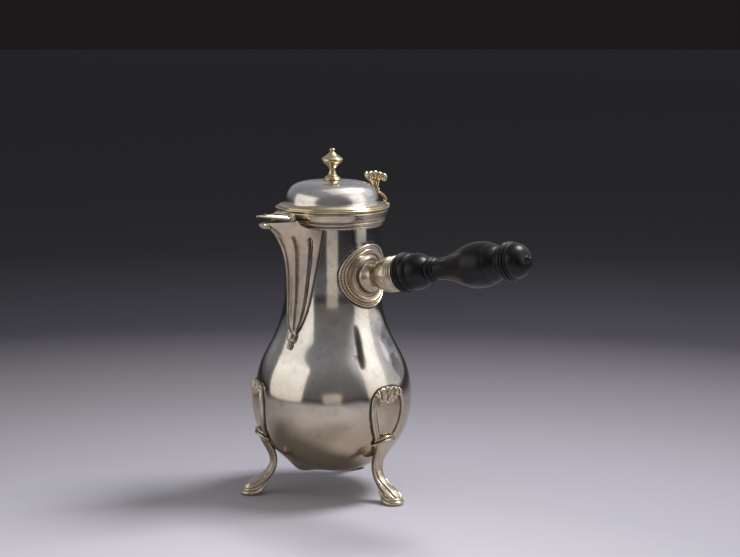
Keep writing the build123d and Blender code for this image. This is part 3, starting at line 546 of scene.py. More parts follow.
# ------------------------------------------------------------------ the vessel's shape, which its fittings follow
NECK_STEPS = 20
VESSEL_SIDE = joined(          # radius and height up the outside, the last NECK_STEPS points on the straight neck
    smooth(
        [(0, 17.2), (24.0, 19.2), (41.0, 29.4), (52.8, 47.0), (57.0, 74.0), (51.6, 97.0), (43.2, 113.7),
         (37.0, 131.5), (35.0, 150.0)],
        24, start=(1, 0), end=(-0.0107, 1),
    ),
    [(35.0 - 0.6 * s / NECK_STEPS, 150.0 + 56.4 * s / NECK_STEPS) for s in range(1, NECK_STEPS + 1)],
)
WIDEST = 57.0                  # no wave or knock takes the sheet beyond the belly's largest radius
SIDE_HEIGHTS = np.array([z for r, z in VESSEL_SIDE])
SIDE_RADII = np.array([r for r, z in VESSEL_SIDE])
DENTS = [                      # azimuth, height, width and depth of knocks in the sheet, degrees and millimetres
    (-82, 22, 15, 0.55), (-118, 26, 13, 0.5), (-30, 30, 12, 0.3), (-62, 52, 13, 0.22), (-28, 72, 9, 0.14),
    (20, 118, 11, 0.16), (-20, 128, 9, 0.12), (48, 96, 10, 0.15), (-92, 88, 12, 0.12), (150, 60, 14, 0.22),
    (200, 90, 11, 0.18), (-24, 176, 8, 0.10), (-8, 168, 7, -0.06), (-112, 19.5, 13, -3.4), (-139, 27, 8, 1.3),
]


def vessel_radius(height):
    """Outside radius of the vessel at a height in millimetres."""
    return float(np.interp(height, SIDE_HEIGHTS, SIDE_RADII))


def hammered(x, y, z):
    """A point of the sheet moved by the waves of raising and by knocks: outwards, and near the base downwards."""
    place = Vector((x, y, z))
    radius = math.hypot(x, y)
    if radius < 1e-6:
        return x, y, z
    depth = bpy.context.scene.pot_silver.dents / MM
    shift = depth * (noise.noise(place / 17) * 0.9 + noise.noise(place / 38 + Vector((7, 3, 1))) * 1.6)
    shift *= min(max((202 - z) / 30, 0.25), 1.0)       # the collar holds the mouth true
    for azimuth, height, width, deep in DENTS:
        a = math.radians(azimuth)
        r = vessel_radius(height)
        away = (place - Vector((r * math.cos(a), r * math.sin(a), height))).length_squared
        if away < 9 * width * width:
            shift -= deep * math.exp(-away / (width * width * 0.5))
    slope = 1.0 if z > 30 else 0.4
    shift = min(shift, WIDEST - radius)
    scale = 1 + shift * slope / max(radius, 8)
    return x * scale, y * scale, z - (shift * 0.9 if z < 30 else 0.0)


def about_axis(out, across, height, turn):
    """Point at a reach outwards and across, turned round the pot's axis by degrees from the handle's side."""
    a = math.radians(turn)
    return out * math.cos(a) - across * math.sin(a), out * math.sin(a) + across * math.cos(a), height


def on_vessel(across, height, turn, lift=0.0):
    """Point on the vessel's outside, across from the line at a turn in degrees, raised by a lift along its normal."""
    r = vessel_radius(height)
    slope = vessel_radius(height + 0.5) - vessel_radius(height - 0.5)
    across = max(min(across, r * 0.98), -r * 0.98)
    forward = math.sqrt(r * r - across * across)
    level = Vector((forward / r, across / r, 0))
    normal = Vector((level.x, level.y, -slope)).normalized()
    return about_axis(*(Vector((forward, across, height)) + normal * lift), turn)


class PotOperator(bpy.types.Operator):
    """Base of the pot's operators"""

    bl_options = {"REGISTER", "UNDO"}


class POT_OT_vessel(PotOperator):
    """Raised silver vessel with its hollow inside"""

    bl_idname = "pot.vessel"
    bl_label = "Vessel"

    def execute(self, context):
        inside = [(r - WALL if r > WALL else 0.0, z + WALL * 0.9) for r, z in VESSEL_SIDE[:-NECK_STEPS:3]]
        inside = inside[:-1] + [(r - WALL, z) for r, z in VESSEL_SIDE[-NECK_STEPS - 1 :: 4]]
        inside[0] = (0.0, VESSEL_SIDE[0][1] + WALL)
        inside[-1] = (inside[-1][0], MOUTH - 0.2)
        line = joined(VESSEL_SIDE[:-1], [(NECK_RADIUS, MOUTH - 0.2), (NECK_RADIUS - 0.2, MOUTH)],
                      [(NECK_RADIUS - WALL + 0.2, MOUTH)], inside[::-1])
        pot = turned("raised_vessel", line, 288, wave=hammered)
        cut = bpy.data.objects.new("slot cutter", bpy.data.meshes.new("slot cutter"))
        wall, middle, tall = -33.0, 166.0, 16      # the slot's place through the wall, its height and half length
        work = bmesh.new()
        bmesh.ops.create_cone(work, cap_ends=True, segments=32, radius1=7, radius2=7, depth=12)
        for v in work.verts:
            v.co = Vector((v.co.x, v.co.z + wall, middle + v.co.y + math.copysign(tall, v.co.y))) * MM
        bmesh.ops.recalc_face_normals(work, faces=work.faces)
        work.to_mesh(cut.data)
        work.free()
        bpy.context.scene.collection.objects.link(cut)
        opening = pot.modifiers.new("way into the spout", "BOOLEAN")
        opening.operation, opening.object, opening.solver = "DIFFERENCE", cut, "EXACT"
        bake_modifiers(pot)
        bpy.data.objects.remove(cut)
        dress(pot, "pot", "silver", finish("old polished silver"), "vessel", reach=0.6)
        edge = SHIELD_EDGE + [(-x, z) for x, z in SHIELD_EDGE]
        seams = [[on_vessel(x, z, turn) for x, z in edge] for turn in FEET.values()]
        seams.append(spout_root(196, 0.8))
        seams.append([on_vessel(PLATE_REACH * math.cos(a), PLATE_MIDDLE + PLATE_REACH * math.sin(a), 0.0)
                      for a in np.linspace(0, 2 * math.pi, 120)])
        soil(pot, seams, 1.4, 0.8)
        return {"FINISHED"}


class POT_OT_collar(PotOperator):
    """Moulded collar soldered round the mouth"""

    bl_idname = "pot.collar"
    bl_label = "Mouth collar"

    def execute(self, context):
        line = joined(
            [(NECK_RADIUS - 0.6, 194.7), (34.9, 194.7)],
            smooth([(34.95, 194.75), (35.75, 195.1), (36.05, 195.8), (35.75, 196.5)], 5),
            [(35.7, 196.6), (36.1, 196.95)],
            smooth([(36.2, 197.0), (37.3, 197.4), (37.85, 198.3), (37.7, 199.2)], 6),
            [(37.35, 199.45)],
            smooth([(37.4, 199.6), (38.0, 200.2), (38.75, 201.4), (39.2, 202.9), (39.35, 203.7)], 6),
            [(39.7, 203.85)],
            smooth([(39.75, 203.9), (39.98, 204.7), (39.95, 205.6), (39.6, 206.3)], 5),
            [(39.3, MOUTH), (NECK_RADIUS - 0.6, MOUTH)],
        )

        def uneven(x, y, z):
            """Slight waves of a moulding bent and soldered by hand"""
            swell = 1 + 0.0012 * noise.noise(Vector((x, y, z)) / 14)
            return x * swell, y * swell, z + 0.05 * noise.noise(Vector((x, y, z + 9)) / 16)

        collar = turned("mouth_collar", line, 240, wave=uneven)
        dress(collar, "pot", "silver", finish("cast silver"), "collar", reach=0.7)
        return {"FINISHED"}


class POT_OT_lid(PotOperator):
    """Lid: moulded flange, raised dome and the bezel that holds it in the neck"""

    bl_idname = "pot.lid"
    bl_label = "Lid"

    def execute(self, context):
        flange = joined(
            [(31.6, LID_BASE), (40.2, LID_BASE)],
            smooth([(40.3, LID_BASE + 0.02), (40.95, 207.0), (41.18, 207.6), (41.0, 208.3), (40.4, 208.65)], 6),
            smooth([(40.3, 208.66), (39.8, 208.6), (39.35, 208.45)], 4),
            smooth([(39.3, 208.5), (39.15, 209.2), (38.6, 209.75), (37.9, 209.85), (37.3, 209.55)], 6),
            smooth([(37.2, 209.45), (36.3, 209.6), (35.4, 210.1), (34.75, 210.9), (34.6, DOME_SEAT)], 6),
            [(31.6, DOME_SEAT)],
        )
        dress(turned("lid_moulding", flange, 240), "lid", "gilt_silver", finish("gilt tarnished silver"),
              "lid_flange", reach=0.6)
        outer = smooth([(34.2, DOME_SEAT), (33.75, 212.5), (33.55, 214.0), (32.75, 217.4), (31.2, 220.4),
                        (28.9, 223.0), (25.2, 225.0), (20.5, 226.2), (13.5, 226.9), (6.5, 227.15), (3.9, CROWN)],
                       10, start=(-0.5, 1), end=(-1, 0))
        inner = smooth([(3.9, 226.0), (14.0, 225.7), (22.0, 224.6), (27.6, 222.4), (30.4, 219.1), (32.0, 214.8),
                        (32.6, DOME_SEAT)], 8)

        def raised(x, y, z):
            """Dome's sheet with the waves of raising"""
            place = Vector((x, y, z))
            lift = 0.10 * noise.noise(place / 13) + 0.13 * noise.noise(place / 27)
            lift *= min((z - DOME_SEAT) / 5, 1.0) * min(max((math.hypot(x, y) - 7) / 6, 0), 1)
            r = max(math.hypot(x, y), 1)
            return x * (1 + lift * 0.8 / r), y * (1 + lift * 0.8 / r), z + lift * 0.5 - abs(lift) * 0.3

        dress(turned("raised_dome", joined(outer, inner), 240, wave=raised), "lid", "silver",
              finish("softly polished silver"), "lid_dome", reach=0.6)
        bezel = [(31.6, 199.7), (32.5, 200.0), (32.6, 200.4), (32.6, LID_BASE), (31.6, LID_BASE)]
        dress(turned("lid_bezel_ring", joined(bezel), 192), "lid", "silver", finish("dull silver inside"),
              "lid_bezel", reach=0.5)
        return {"FINISHED"}


class POT_OT_finial(PotOperator):
    """Turned finial on the swinging cover of the stirring hole, and the rivet that it swings on"""

    bl_idname = "pot.finial"
    bl_label = "Finial and cover"

    def execute(self, context):
        line = joined(
            [(0, PLATE_TOP - 0.3), (5.5, PLATE_TOP - 0.3), (5.6, PLATE_TOP + 0.15)],
            smooth([(5.5, 228.95), (5.2, 229.35), (4.4, 229.8), (3.85, 230.15)], 5),
            smooth([(3.75, 230.2), (3.05, 231.4), (2.6, 232.9), (2.42, 234.2), (2.6, 235.5)], 6),
            [(2.9, 235.7)],
            smooth([(2.95, 236.0), (3.7, 237.0), (4.9, 238.2), (6.3, 239.3), (7.3, 240.2)], 5),
            [(7.55, 240.3)],
            smooth([(7.7, 240.5), (7.9, 241.1), (7.85, 241.8), (7.5, 242.6), (6.9, 243.2)], 6),
            [(6.75, 243.25), (6.6, 243.45)],
            smooth([(6.5, 243.5), (5.6, 244.0), (4.9, 244.5)], 4),
            [(4.7, 244.52), (4.6, 244.75)],
            smooth([(4.5, 244.8), (3.5, 245.6), (2.6, 246.4), (1.9, 247.1), (1.6, 247.5)], 6),
            smooth([(1.62, 247.6), (1.95, 247.9), (2.08, 248.6), (1.9, 249.35), (1.2, 249.8), (0, 249.93)], 6),
        )
        dress(turned("turned_finial", line, 96), "cover", "silver", finish("gilt tarnished silver"), "finial",
              reach=0.5)
        dress(cad_copy("cover_plate", "swinging_plate", 0.3), "cover", "silver", finish("gilt tarnished silver"),
              "cover_plate", reach=0.4)
        shank = [(0, CROWN - 2.35), (1.08, CROWN - 2.35), (1.08, PLATE_TOP + 0.06), (1.9, PLATE_TOP + 0.06)]
        head = bead(0, PLATE_TOP - 1.16, 2.12, 33, 88, 7)
        rivet = joined(shank, [(1.9, PLATE_TOP + 0.3)], head, [(0, PLATE_TOP + 0.955)])
        turn = math.radians(PIVOT[1])
        place = Matrix.Translation((PIVOT[0] * math.cos(turn), PIVOT[0] * math.sin(turn), 0))
        dress(turned("cover_pivot", rivet, 40, place), "lid", "pin_silver",
              finish("gilt tarnished silver"), "cover_rivet", reach=0.3)
        return {"FINISHED"}


class POT_OT_hinge(PotOperator):
    """Lid hinge between its bracket and leaf, and the shell thumbpiece over it"""

    bl_idname = "pot.hinge"
    bl_label = "Lid hinge and thumbpiece"

    def execute(self, context):
        gilt, cast = finish("gilt tarnished silver"), finish("cast silver")
        dress(cad_copy("lid_hinge_leaf", "hinge_leaf"), "lid", "silver", gilt, "lid_hinge_leaf", reach=0.5)
        dress(cad_copy("hinge_bracket", "bracket"), "pot", "silver", cast, "hinge_bracket", reach=0.5)
        dress(cad_copy("lid_hinge_pin", "hinge_rod", 0.15), "pot", "pin_silver", cast, "lid_hinge_pin", reach=0.4)
        y, z = HINGE
        bead_y, bead_z = y - 5.9, z + 11.8         # a cross bead at the stem's top, where five lobes spring
        stem = smooth([(0, y + 0.8, z + 1.2), (0, y + 1.3, z + 3.9), (0, y - 0.2, z + 6.6), (0, y - 2.9, z + 8.9),
                       (0, y - 5.0, z + 10.7), (0, bead_y, bead_z + 0.6)], 5)
        share = [k / (len(stem) - 1) for k in range(len(stem))]
        parts = [rod(stem, [1.0 - 0.15 * k for k in share], 20)]
        for side in (-1, 1):
            parts.append(rod([(side * (1.35 - 0.45 * k), p[1], p[2]) for k, p in zip(share, stem)],
                             [0.8 - 0.15 * k for k in share], 14))
        parts.append(rod([(-1.0, bead_y, bead_z), (1.0, bead_y, bead_z)], [1.45, 1.45], 24))
        for lobe in range(5):
            place = lobe - 2
            spread, drop, way = place * 4.5, abs(place) * 0.5, math.radians(place * 20)
            line = [(0.10 * spread, bead_y, bead_z + 0.5), (0.36 * spread, bead_y - 1.3, bead_z + 3.6 - 0.3 * drop),
                    (0.74 * spread, bead_y - 3.0, bead_z + 7.6 - 0.6 * drop),
                    (0.96 * spread, bead_y - 3.8, bead_z + 10.4 - drop)]
            line += [(spread + curl * math.sin(way), bead_y - 3.9 + curl * math.cos(way), bead_z + up - drop)
                     for curl, up in ((1.2, 12.0), (2.9, 12.35), (4.4, 11.2), (4.5, 9.6), (3.5, 8.8), (2.7, 9.3))]
            line = smooth(line, 6)
            grow = [0.62 + 0.62 * math.sin(min(k / len(line) * 1.6, 1) * math.pi / 2) for k in range(len(line))]
            parts.append(rod(line, grow, 22))
        web = []                                   # thin sheet behind the lobes
        for s in np.linspace(0, 1, 18):
            half, py, pz = 1.0 + 6.6 * s, bead_y - 3.2 * s, bead_z + 0.6 + 8.4 * s
            web.append([(half * c, py + 0.5 * d, pz + 0.15 * d - 0.014 * (half * c) ** 2 * s)
                        for c, d in ((-1, 0), (-0.5, -1), (0, -1), (0.5, -1), (1, 0), (0.5, 1), (0, 1), (-0.5, 1))])
        parts.append(skinned(web))
        points, faces = merged(*parts)
        round_to = Matrix.Rotation(math.radians(HINGE_TURN - 90), 3, "Z")
        shell = mesh_object("shell_thumbpiece", [tuple(round_to @ Vector(q)) for q in points], faces)
        dress(shell, "lid", "gilt_silver", gilt, "thumbpiece", reach=0.5, rounds=2)
        return {"FINISHED"}


# ------------------------------------------------------------------ spout
SPOUT_STATIONS = np.array([    # height, half width at the root, reach of the nose, radius of the nose
    (119.5, 1.6, 42.2, 1.3), (128.0, 5.7, 46.0, 3.2), (140.0, 8.9, 46.0, 4.4), (155.0, 11.8, 45.9, 5.6),
    (170.0, 14.6, 46.9, 6.4), (180.0, 16.2, 49.4, 6.6), (188.0, 17.5, 53.8, 6.2), (194.0, 18.3, 59.0, 5.0),
    (198.5, 18.7, 65.0, 3.8), (203.5, 19.0, 71.5, 3.0),
])
SPOUT_CURVES = np.array(smooth(SPOUT_STATIONS, 12))
SPOUT_FOOT, SPOUT_WALL = 120.0, 1.6
ROOF = [(32.0, 195.2), (40.5, 196.9), (44.6, 198.7), (47.3, 201.9), (80.0, 202.0)]     # reach and height of its edge
OUTER_FLUTE, INNER_FLUTE = 0.90, 0.345     # share of the flank between the flute and the root
FLUTES = (0.0, OUTER_FLUTE, INNER_FLUTE)   # the first runs down the nose
FLUTE_FOOT, FLUTE_TOP = 122.5, 191.4


def spout_section(height, inset=0.0):
    """Half of the spout's outline at a height: nose arc, its end, its lengths and the direction it turns to."""
    _, b, nose, radius = (float(np.interp(height, SPOUT_CURVES[:, 0], SPOUT_CURVES[:, k])) for k in range(4))
    b, nose, radius = b - inset, nose - inset, max(radius - inset, 0.4)
    root = math.sqrt(vessel_radius(height) ** 2 - b * b)
    centre = nose - radius
    start = math.atan2(root - centre, b) + math.acos(min(radius / math.hypot(b, centre - root), 1))
    tangent = (radius * math.cos(start), centre + radius * math.sin(start))
    arc = radius * (math.pi / 2 - start)
    return b, root, centre, radius, start, tangent, arc, math.dist(tangent, (b, root))


def flute_run(share, height, arc, flank):
    """Distance round from the nose to the middle of a flute: the outer pair spreads a little towards the mouth."""
    if not share:
        return 0.0
    drift = 0.10 * min(max((height - 168) / 20, 0), 1) if share == OUTER_FLUTE else 0.0
    return arc + flank * (1 - share + drift)


def spout_point(t, height, inset=0.0):
    """Across and outwards place on the spout at a height: t is 0 on the nose and 1 at the root, either side."""
    b, root, centre, radius, start, tangent, arc, flank = spout_section(height, inset)
    side, run = math.copysign(1, t), abs(t) * (arc + flank)
    if run < arc:
        a = math.pi / 2 - run / radius
        x, u, nx, nu = radius * math.cos(a), centre + radius * math.sin(a), math.cos(a), math.sin(a)
    else:
        s = (run - arc) / flank
        x, u = tangent[0] + (b - tangent[0]) * s, tangent[1] + (root - tangent[1]) * s
        nx, nu = math.cos(start), math.sin(start)
    for share in FLUTES if not inset else ():
        top = FLUTE_TOP - (1.6 if share == INNER_FLUTE else 0)
        if FLUTE_FOOT < height < top:
            grow = min((height - FLUTE_FOOT) / (188 - FLUTE_FOOT), 1)
            half = 0.80 + 0.90 * grow
            if height > top - half:
                half *= math.sqrt(max(1 - ((height - top + half) / half) ** 2, 0))
            off = abs(run - flute_run(share, height, arc, flank))
            if half > 0.02 and off < half:
                deep = 1.2 * (0.55 + 0.45 * grow) * (1 - (off / half) ** 2) ** 0.65 * min(half / 0.9, 1)
                x, u = x - nx * deep, u - nu * deep
    return x * side, u, nx * side, nu


def flute_floor(share, side, height):
    """Point on the floor of a flute at a height."""
    *_, arc, flank = spout_section(height)
    x, u, _, _ = spout_point(side * flute_run(share, height, arc, flank) / (arc + flank), height)
    return x, -u, height


def roof_height(reach):
    """Height of the spout's upper edge at a reach."""
    return float(np.interp(reach, [r for r, z in ROOF], [z for r, z in ROOF]))


def spout_top_of(t, inset=0.0):
    """Height at which a line down the spout meets the upper edge."""
    low, high = 150.0, 203.4
    for _ in range(30):
        middle = (low + high) / 2
        if middle < roof_height(spout_point(t, middle, inset)[1]):
            low = middle
        else:
            high = middle
    return low


def spout_root(top, step):
    """Points up both edges where the spout meets the vessel, to a height in steps."""
    line = []
    for z in np.arange(SPOUT_FOOT + 1, top, step):
        x, u, _, _ = spout_point(1, z)
        line += [(x, -u, z), (-x, -u, z)]
    return line


def rounded_ring(reach, low, high, half):
    """Section of the lip at a reach: a rectangle with well rounded corners."""
    ring = []
    for a in np.linspace(0, 2 * math.pi, 24, endpoint=False):
        c, s = (math.copysign(abs(v) ** 0.45, v) for v in (math.cos(a), math.sin(a)))
        ring.append((half * c, -reach, (low + high) / 2 + (high - low) / 2 * s))
    return ring


class POT_OT_spout(PotOperator):
    """Fluted spout with its open lip, its fixed cover and the drop under it"""

    bl_idname = "pot.spout"
    bl_label = "Spout"

    def execute(self, context):
        ts = np.concatenate([np.linspace(-1, -0.05, 60), np.linspace(-0.04, 0.04, 7), np.linspace(0.05, 1, 60)])
        columns = []                               # down the outside, over the rim and down the inside
        for t in ts:
            top = spout_top_of(t)
            line = []
            for z in SPOUT_FOOT + (top - 0.35 - SPOUT_FOOT) * np.linspace(0, 1, 200):
                x, u, _, _ = spout_point(t, z)
                line.append((x, -u, z))
            x, u, nx, nu = spout_point(t, top - 0.1)
            for inset, down in ((0.1, 0.1), (0.35, 0.0), (1.0, 0.0), (1.4, 0.1), (1.6, 0.4)):
                line.append((x - nx * inset, -(u - nu * inset), top - down))
            inner_top = spout_top_of(t, SPOUT_WALL)
            for z in inner_top - (inner_top - 142.0) * np.linspace(0.02, 1, 30):
                x, u, _, _ = spout_point(t, z, SPOUT_WALL)
                line.append((x, -u, z))
            columns.append(line)
        count = len(columns[0])
        vertices = [q for line in columns for q in line]
        faces = []
        for i in range(len(columns) - 1):
            for k in range(count - 1):
                faces.append([i * count + k, (i + 1) * count + k, (i + 1) * count + k + 1, i * count + k + 1])
        shell = (vertices, faces)
        cover = []                                 # fixed roof over the channel, back to the flap's hinge
        for reach in (33.0, 36.0, 40.5, 42.6, 44.6, 46.0, 47.3, 48.5, 50.0, 51.6, 52.5, 52.7):
            level = roof_height(reach)
            across = 0.0
            for t in np.linspace(0.02, 1, 160):
                if spout_point(t, level - 0.6)[1] <= reach:
                    across = spout_point(t, level - 0.6)[0]
                    break
            across = (across or 18.0) - 0.5
            thick = 1.3 if reach < 52.6 else 0.9
            cover.append([(-across, -reach, level - 0.35), (-across + 0.4, -reach, level + 0.02),
                          (across - 0.4, -reach, level + 0.02), (across, -reach, level - 0.35),
                          (across, -reach, level - thick), (-across, -reach, level - thick)])
        lip = [rounded_ring(*section) for section in (
            (63.5, 197.6, 200.4, 2.2), (66.0, 197.1, 201.6, 2.75), (69.5, 197.9, 201.7, 2.75),
            (71.2, 199.0, 201.6, 2.6), (72.2, 200.1, 201.4, 2.2), (72.5, 200.6, 201.2, 1.7),
        )]
        spout = mesh_object("fluted_spout", *merged(shell, skinned(cover), skinned(lip)), angle=50)
        dress(spout, "pot", "silver", finish("cast silver"), "spout", reach=0.5, rounds=3)
        hollows = [flute_floor(share, side, z) for share in FLUTES for side in (-1, 1)
                   for z in np.arange(FLUTE_FOOT, FLUTE_TOP - 1.5, 0.5)]
        soil(spout, [hollows], 1.5, 0.62)
        soil(spout, [spout_root(201.5, 0.5)], 1.15)
        spout.data.materials.append(finish("silver painted dark as shade inside the spout"))
        for face in spout.data.polygons:       # painted shade on the faces that look into the channel and on the cover's underside
            out = face.normal.x * face.center.x + face.normal.y * (face.center.y + 40 * MM)
            inside = out < -0.2 * MM and face.center.z < 0.2
            if inside or (face.normal.z < -0.85 and face.center.z > 0.193):
                face.material_index = 1

        top, foot = 123.5, 108.7
        axis = Vector((0, vessel_radius(top) - vessel_radius(foot), foot - top)).normalized()
        start = Vector((0, -vessel_radius(top) - 1.02, top))
        place = Matrix.Translation(start) @ axis.to_track_quat("Z", "Y").to_matrix().to_4x4()
        line = joined(
            [(0, 0.02), (2.5, 0.02)], smooth([(2.6, 0.05), (3.02, 0.5), (3.08, 1.0), (2.75, 1.55)], 5),
            [(2.55, 1.7), (2.6, 1.85)],
            smooth([(2.7, 1.95), (3.2, 3.2), (3.38, 4.8), (3.22, 6.6), (2.7, 8.3), (2.3, 9.1)], 7),
            [(1.9, 9.35), (1.35, 9.5), (1.3, 9.7)],
            smooth([(1.35, 9.8), (1.75, 10.9), (1.83, 12.2), (1.55, 13.5), (0.9, 14.45), (0, 14.7)], 6),
        )

        def leafed(x, y, z):
            """Bulb with six shallow lobes"""
            if not 2.0 < z < 9.2:
                return x, y, z
            swell = 1 + 0.055 * math.sin(math.pi * (z - 2) / 7.2) * (abs(math.cos(3 * math.atan2(y, x))) - 1)
            return x * swell, y * swell, z

        drop = turned("spout_pendant", line, 72, place, leafed)
        dress(drop, "pot", "silver", finish("cast silver"), "spout_drop", reach=0.4)
        return {"FINISHED"}


class POT_OT_flap(PotOperator):
    """Hinged flap over the spout's mouth with its knuckles and pin"""

    bl_idname = "pot.flap"
    bl_label = "Spout flap"

    def execute(self, context):
        reach, level = FLAP_AXIS
        tilt = math.radians(FLAP_AJAR)

        def ajar(x, u, z):
            """Point of the shut flap about its hinge, swung ajar"""
            out, up = u * math.cos(tilt) - z * math.sin(tilt), u * math.sin(tilt) + z * math.cos(tilt)
            return x, -(reach + out), level + up

        base = -2.0                                # height of the leaf's underside from the hinge
        rows = []
        for u, half, rise, under in smooth([(2.75, 9.5, 2.7, 0.0), (8.0, 7.4, 2.4, 0.1), (14.0, 5.0, 2.1, 0.25),
                                            (20.0, 2.6, 1.9, 0.4), (24.0, 1.1, 1.7, 0.5), (25.5, 0.45, 1.5, 0.55)], 8):
            row = []
            crest = min(max((19.5 - u) / 2.0, 0), 1)
            for s in np.linspace(-1, 1, 49):
                dome = (1 - abs(s) ** 8) ** 0.5 * (rise - 1.3)
                leaf_relief = 0.85 * crest * max(1 - (s / 0.74) ** 8, 0) ** 0.5
                vein = 0.3 * crest * math.cos(s * 17) * math.cos(0.9 * u + 5 * abs(s)) if abs(s) < 0.66 else 0.0
                row.append(ajar(half * s, u, base + 1.3 + max(dome + leaf_relief + vein * min(half / 4, 1), 0)))
            for s in np.linspace(1, -1, 25):
                hollow = (1 - abs(s) ** 4) ** 0.7 * max(rise - 1.9, 0)
                row.append(ajar((half - 0.05) * s, u + 0.02, base + 0.02 + under + hollow))
            rows.append(row)
        leaf = skinned(rows)
        knuckle = rod([ajar(x, 0, 0) for x in np.linspace(-2.3, 2.3, 9)], [2.08] * 9, 28)
        hub = []
        for x in (-4.2, -3.9, 3.9, 4.2):
            shrink = 0.3 if abs(x) > 4 else 0.0
            side = [(0.3, 1.7), (-1.2, 2.3), (-2.6, 2.7), (-3.8 + shrink, 3.2), (-2.6, 3.85 - shrink),
                    (-0.5, 3.95 - shrink), (2.4, 3.9 - shrink), (4.6, 3.3 - shrink), (4.6, 1.9), (2.9, 1.3), (1.9, 1.0)]
            hub.append([ajar(x, u, z) for u, z in side])
        barrel = turned_faces([(0, -4.48), (1.9, -4.48), (2.1, -4.3), (2.1, 4.3), (1.9, 4.48), (0, 4.48)], 36,
                              Matrix.Translation((0, -reach, level)) @ Matrix.Rotation(math.pi / 2, 4, "Y"))
        flap = mesh_object("domed_flap", *merged(leaf, barrel, skinned(hub)), angle=45)
        dress(flap, "flap", "silver", finish("chased tarnished silver"), "spout_flap", reach=0.5, rounds=3)
        flap.data.materials.append(finish("silver painted dark as shade inside the spout"))
        for face in flap.data.polygons:        # painted shade on the leaf's underside, beyond the knuckles
            if face.normal.z < -0.5 and face.center.y < -0.054:
                face.material_index = 1
        dress(cad_copy("spout_knuckles", "flap_knuckles"), "pot", "silver", finish("cast silver"), "spout_knuckles",
              reach=0.4)
        dress(cad_copy("flap_pin", "flap_rod", 0.12), "pot", "pin_silver", finish("cast silver"), "flap_pin", reach=0.3)
        return {"FINISHED"}


# ------------------------------------------------------------------ handle
def along_handle():
    """Matrix that lays a turned piece's height axis along the handle, from the handle's root."""
    tilt = math.radians(HANDLE_TILT)
    return Matrix.Translation((HANDLE_ROOT[0], 0, HANDLE_ROOT[1])) @ Matrix.Rotation(math.pi / 2 - tilt, 4, "Y")


class POT_OT_escutcheon(PotOperator):
    """Moulded round plate that carries the handle on the neck"""

    bl_idname = "pot.escutcheon"
    bl_label = "Handle plate"

    def execute(self, context):
        line = joined(                                     # distance from the middle, height above the neck
            [(0, 1.15), (12.0, 1.15)],
            smooth([(12.35, 1.2), (12.5, 2.2), (12.9, 2.55), (13.25, 2.1), (13.4, 1.6)], 4),
            smooth([(13.6, 1.3), (14.6, 1.0), (15.8, 1.0), (17.0, 1.35), (17.6, 1.75)], 4),
            smooth([(17.75, 1.85), (18.2, 2.35), (18.8, 2.4), (19.25, 1.9), (19.4, 1.2)], 4),
            smooth([(19.5, 0.9), (19.9, 1.25), (20.4, 1.4), (20.9, 1.25), (21.25, 0.85)], 4),
            smooth([(21.35, 1.0), (21.6, 1.9), (22.05, 2.25), (22.5, 1.9), (22.7, 1.0), (22.75, 0.05)], 4),
            [(22.7, -0.25)],
        )
        turns, rings = 288, []
        for out, lift in line[1:]:
            ring = []
            for k in range(turns):
                a = 2 * math.pi * k / turns
                cord = 0.16 * math.sin(a * 72) if 19.45 < out < 21.3 else 0.0
                ring.append(on_vessel(out * math.cos(a), PLATE_MIDDLE + out * math.sin(a), 0.0, lift + cord))
            rings.append(ring)
        plate = mesh_object("handle_plate", *skinned(rings), angle=40)
        dress(plate, "pot", "silver", finish("cast silver"), "escutcheon", reach=0.6)
        return {"FINISHED"}


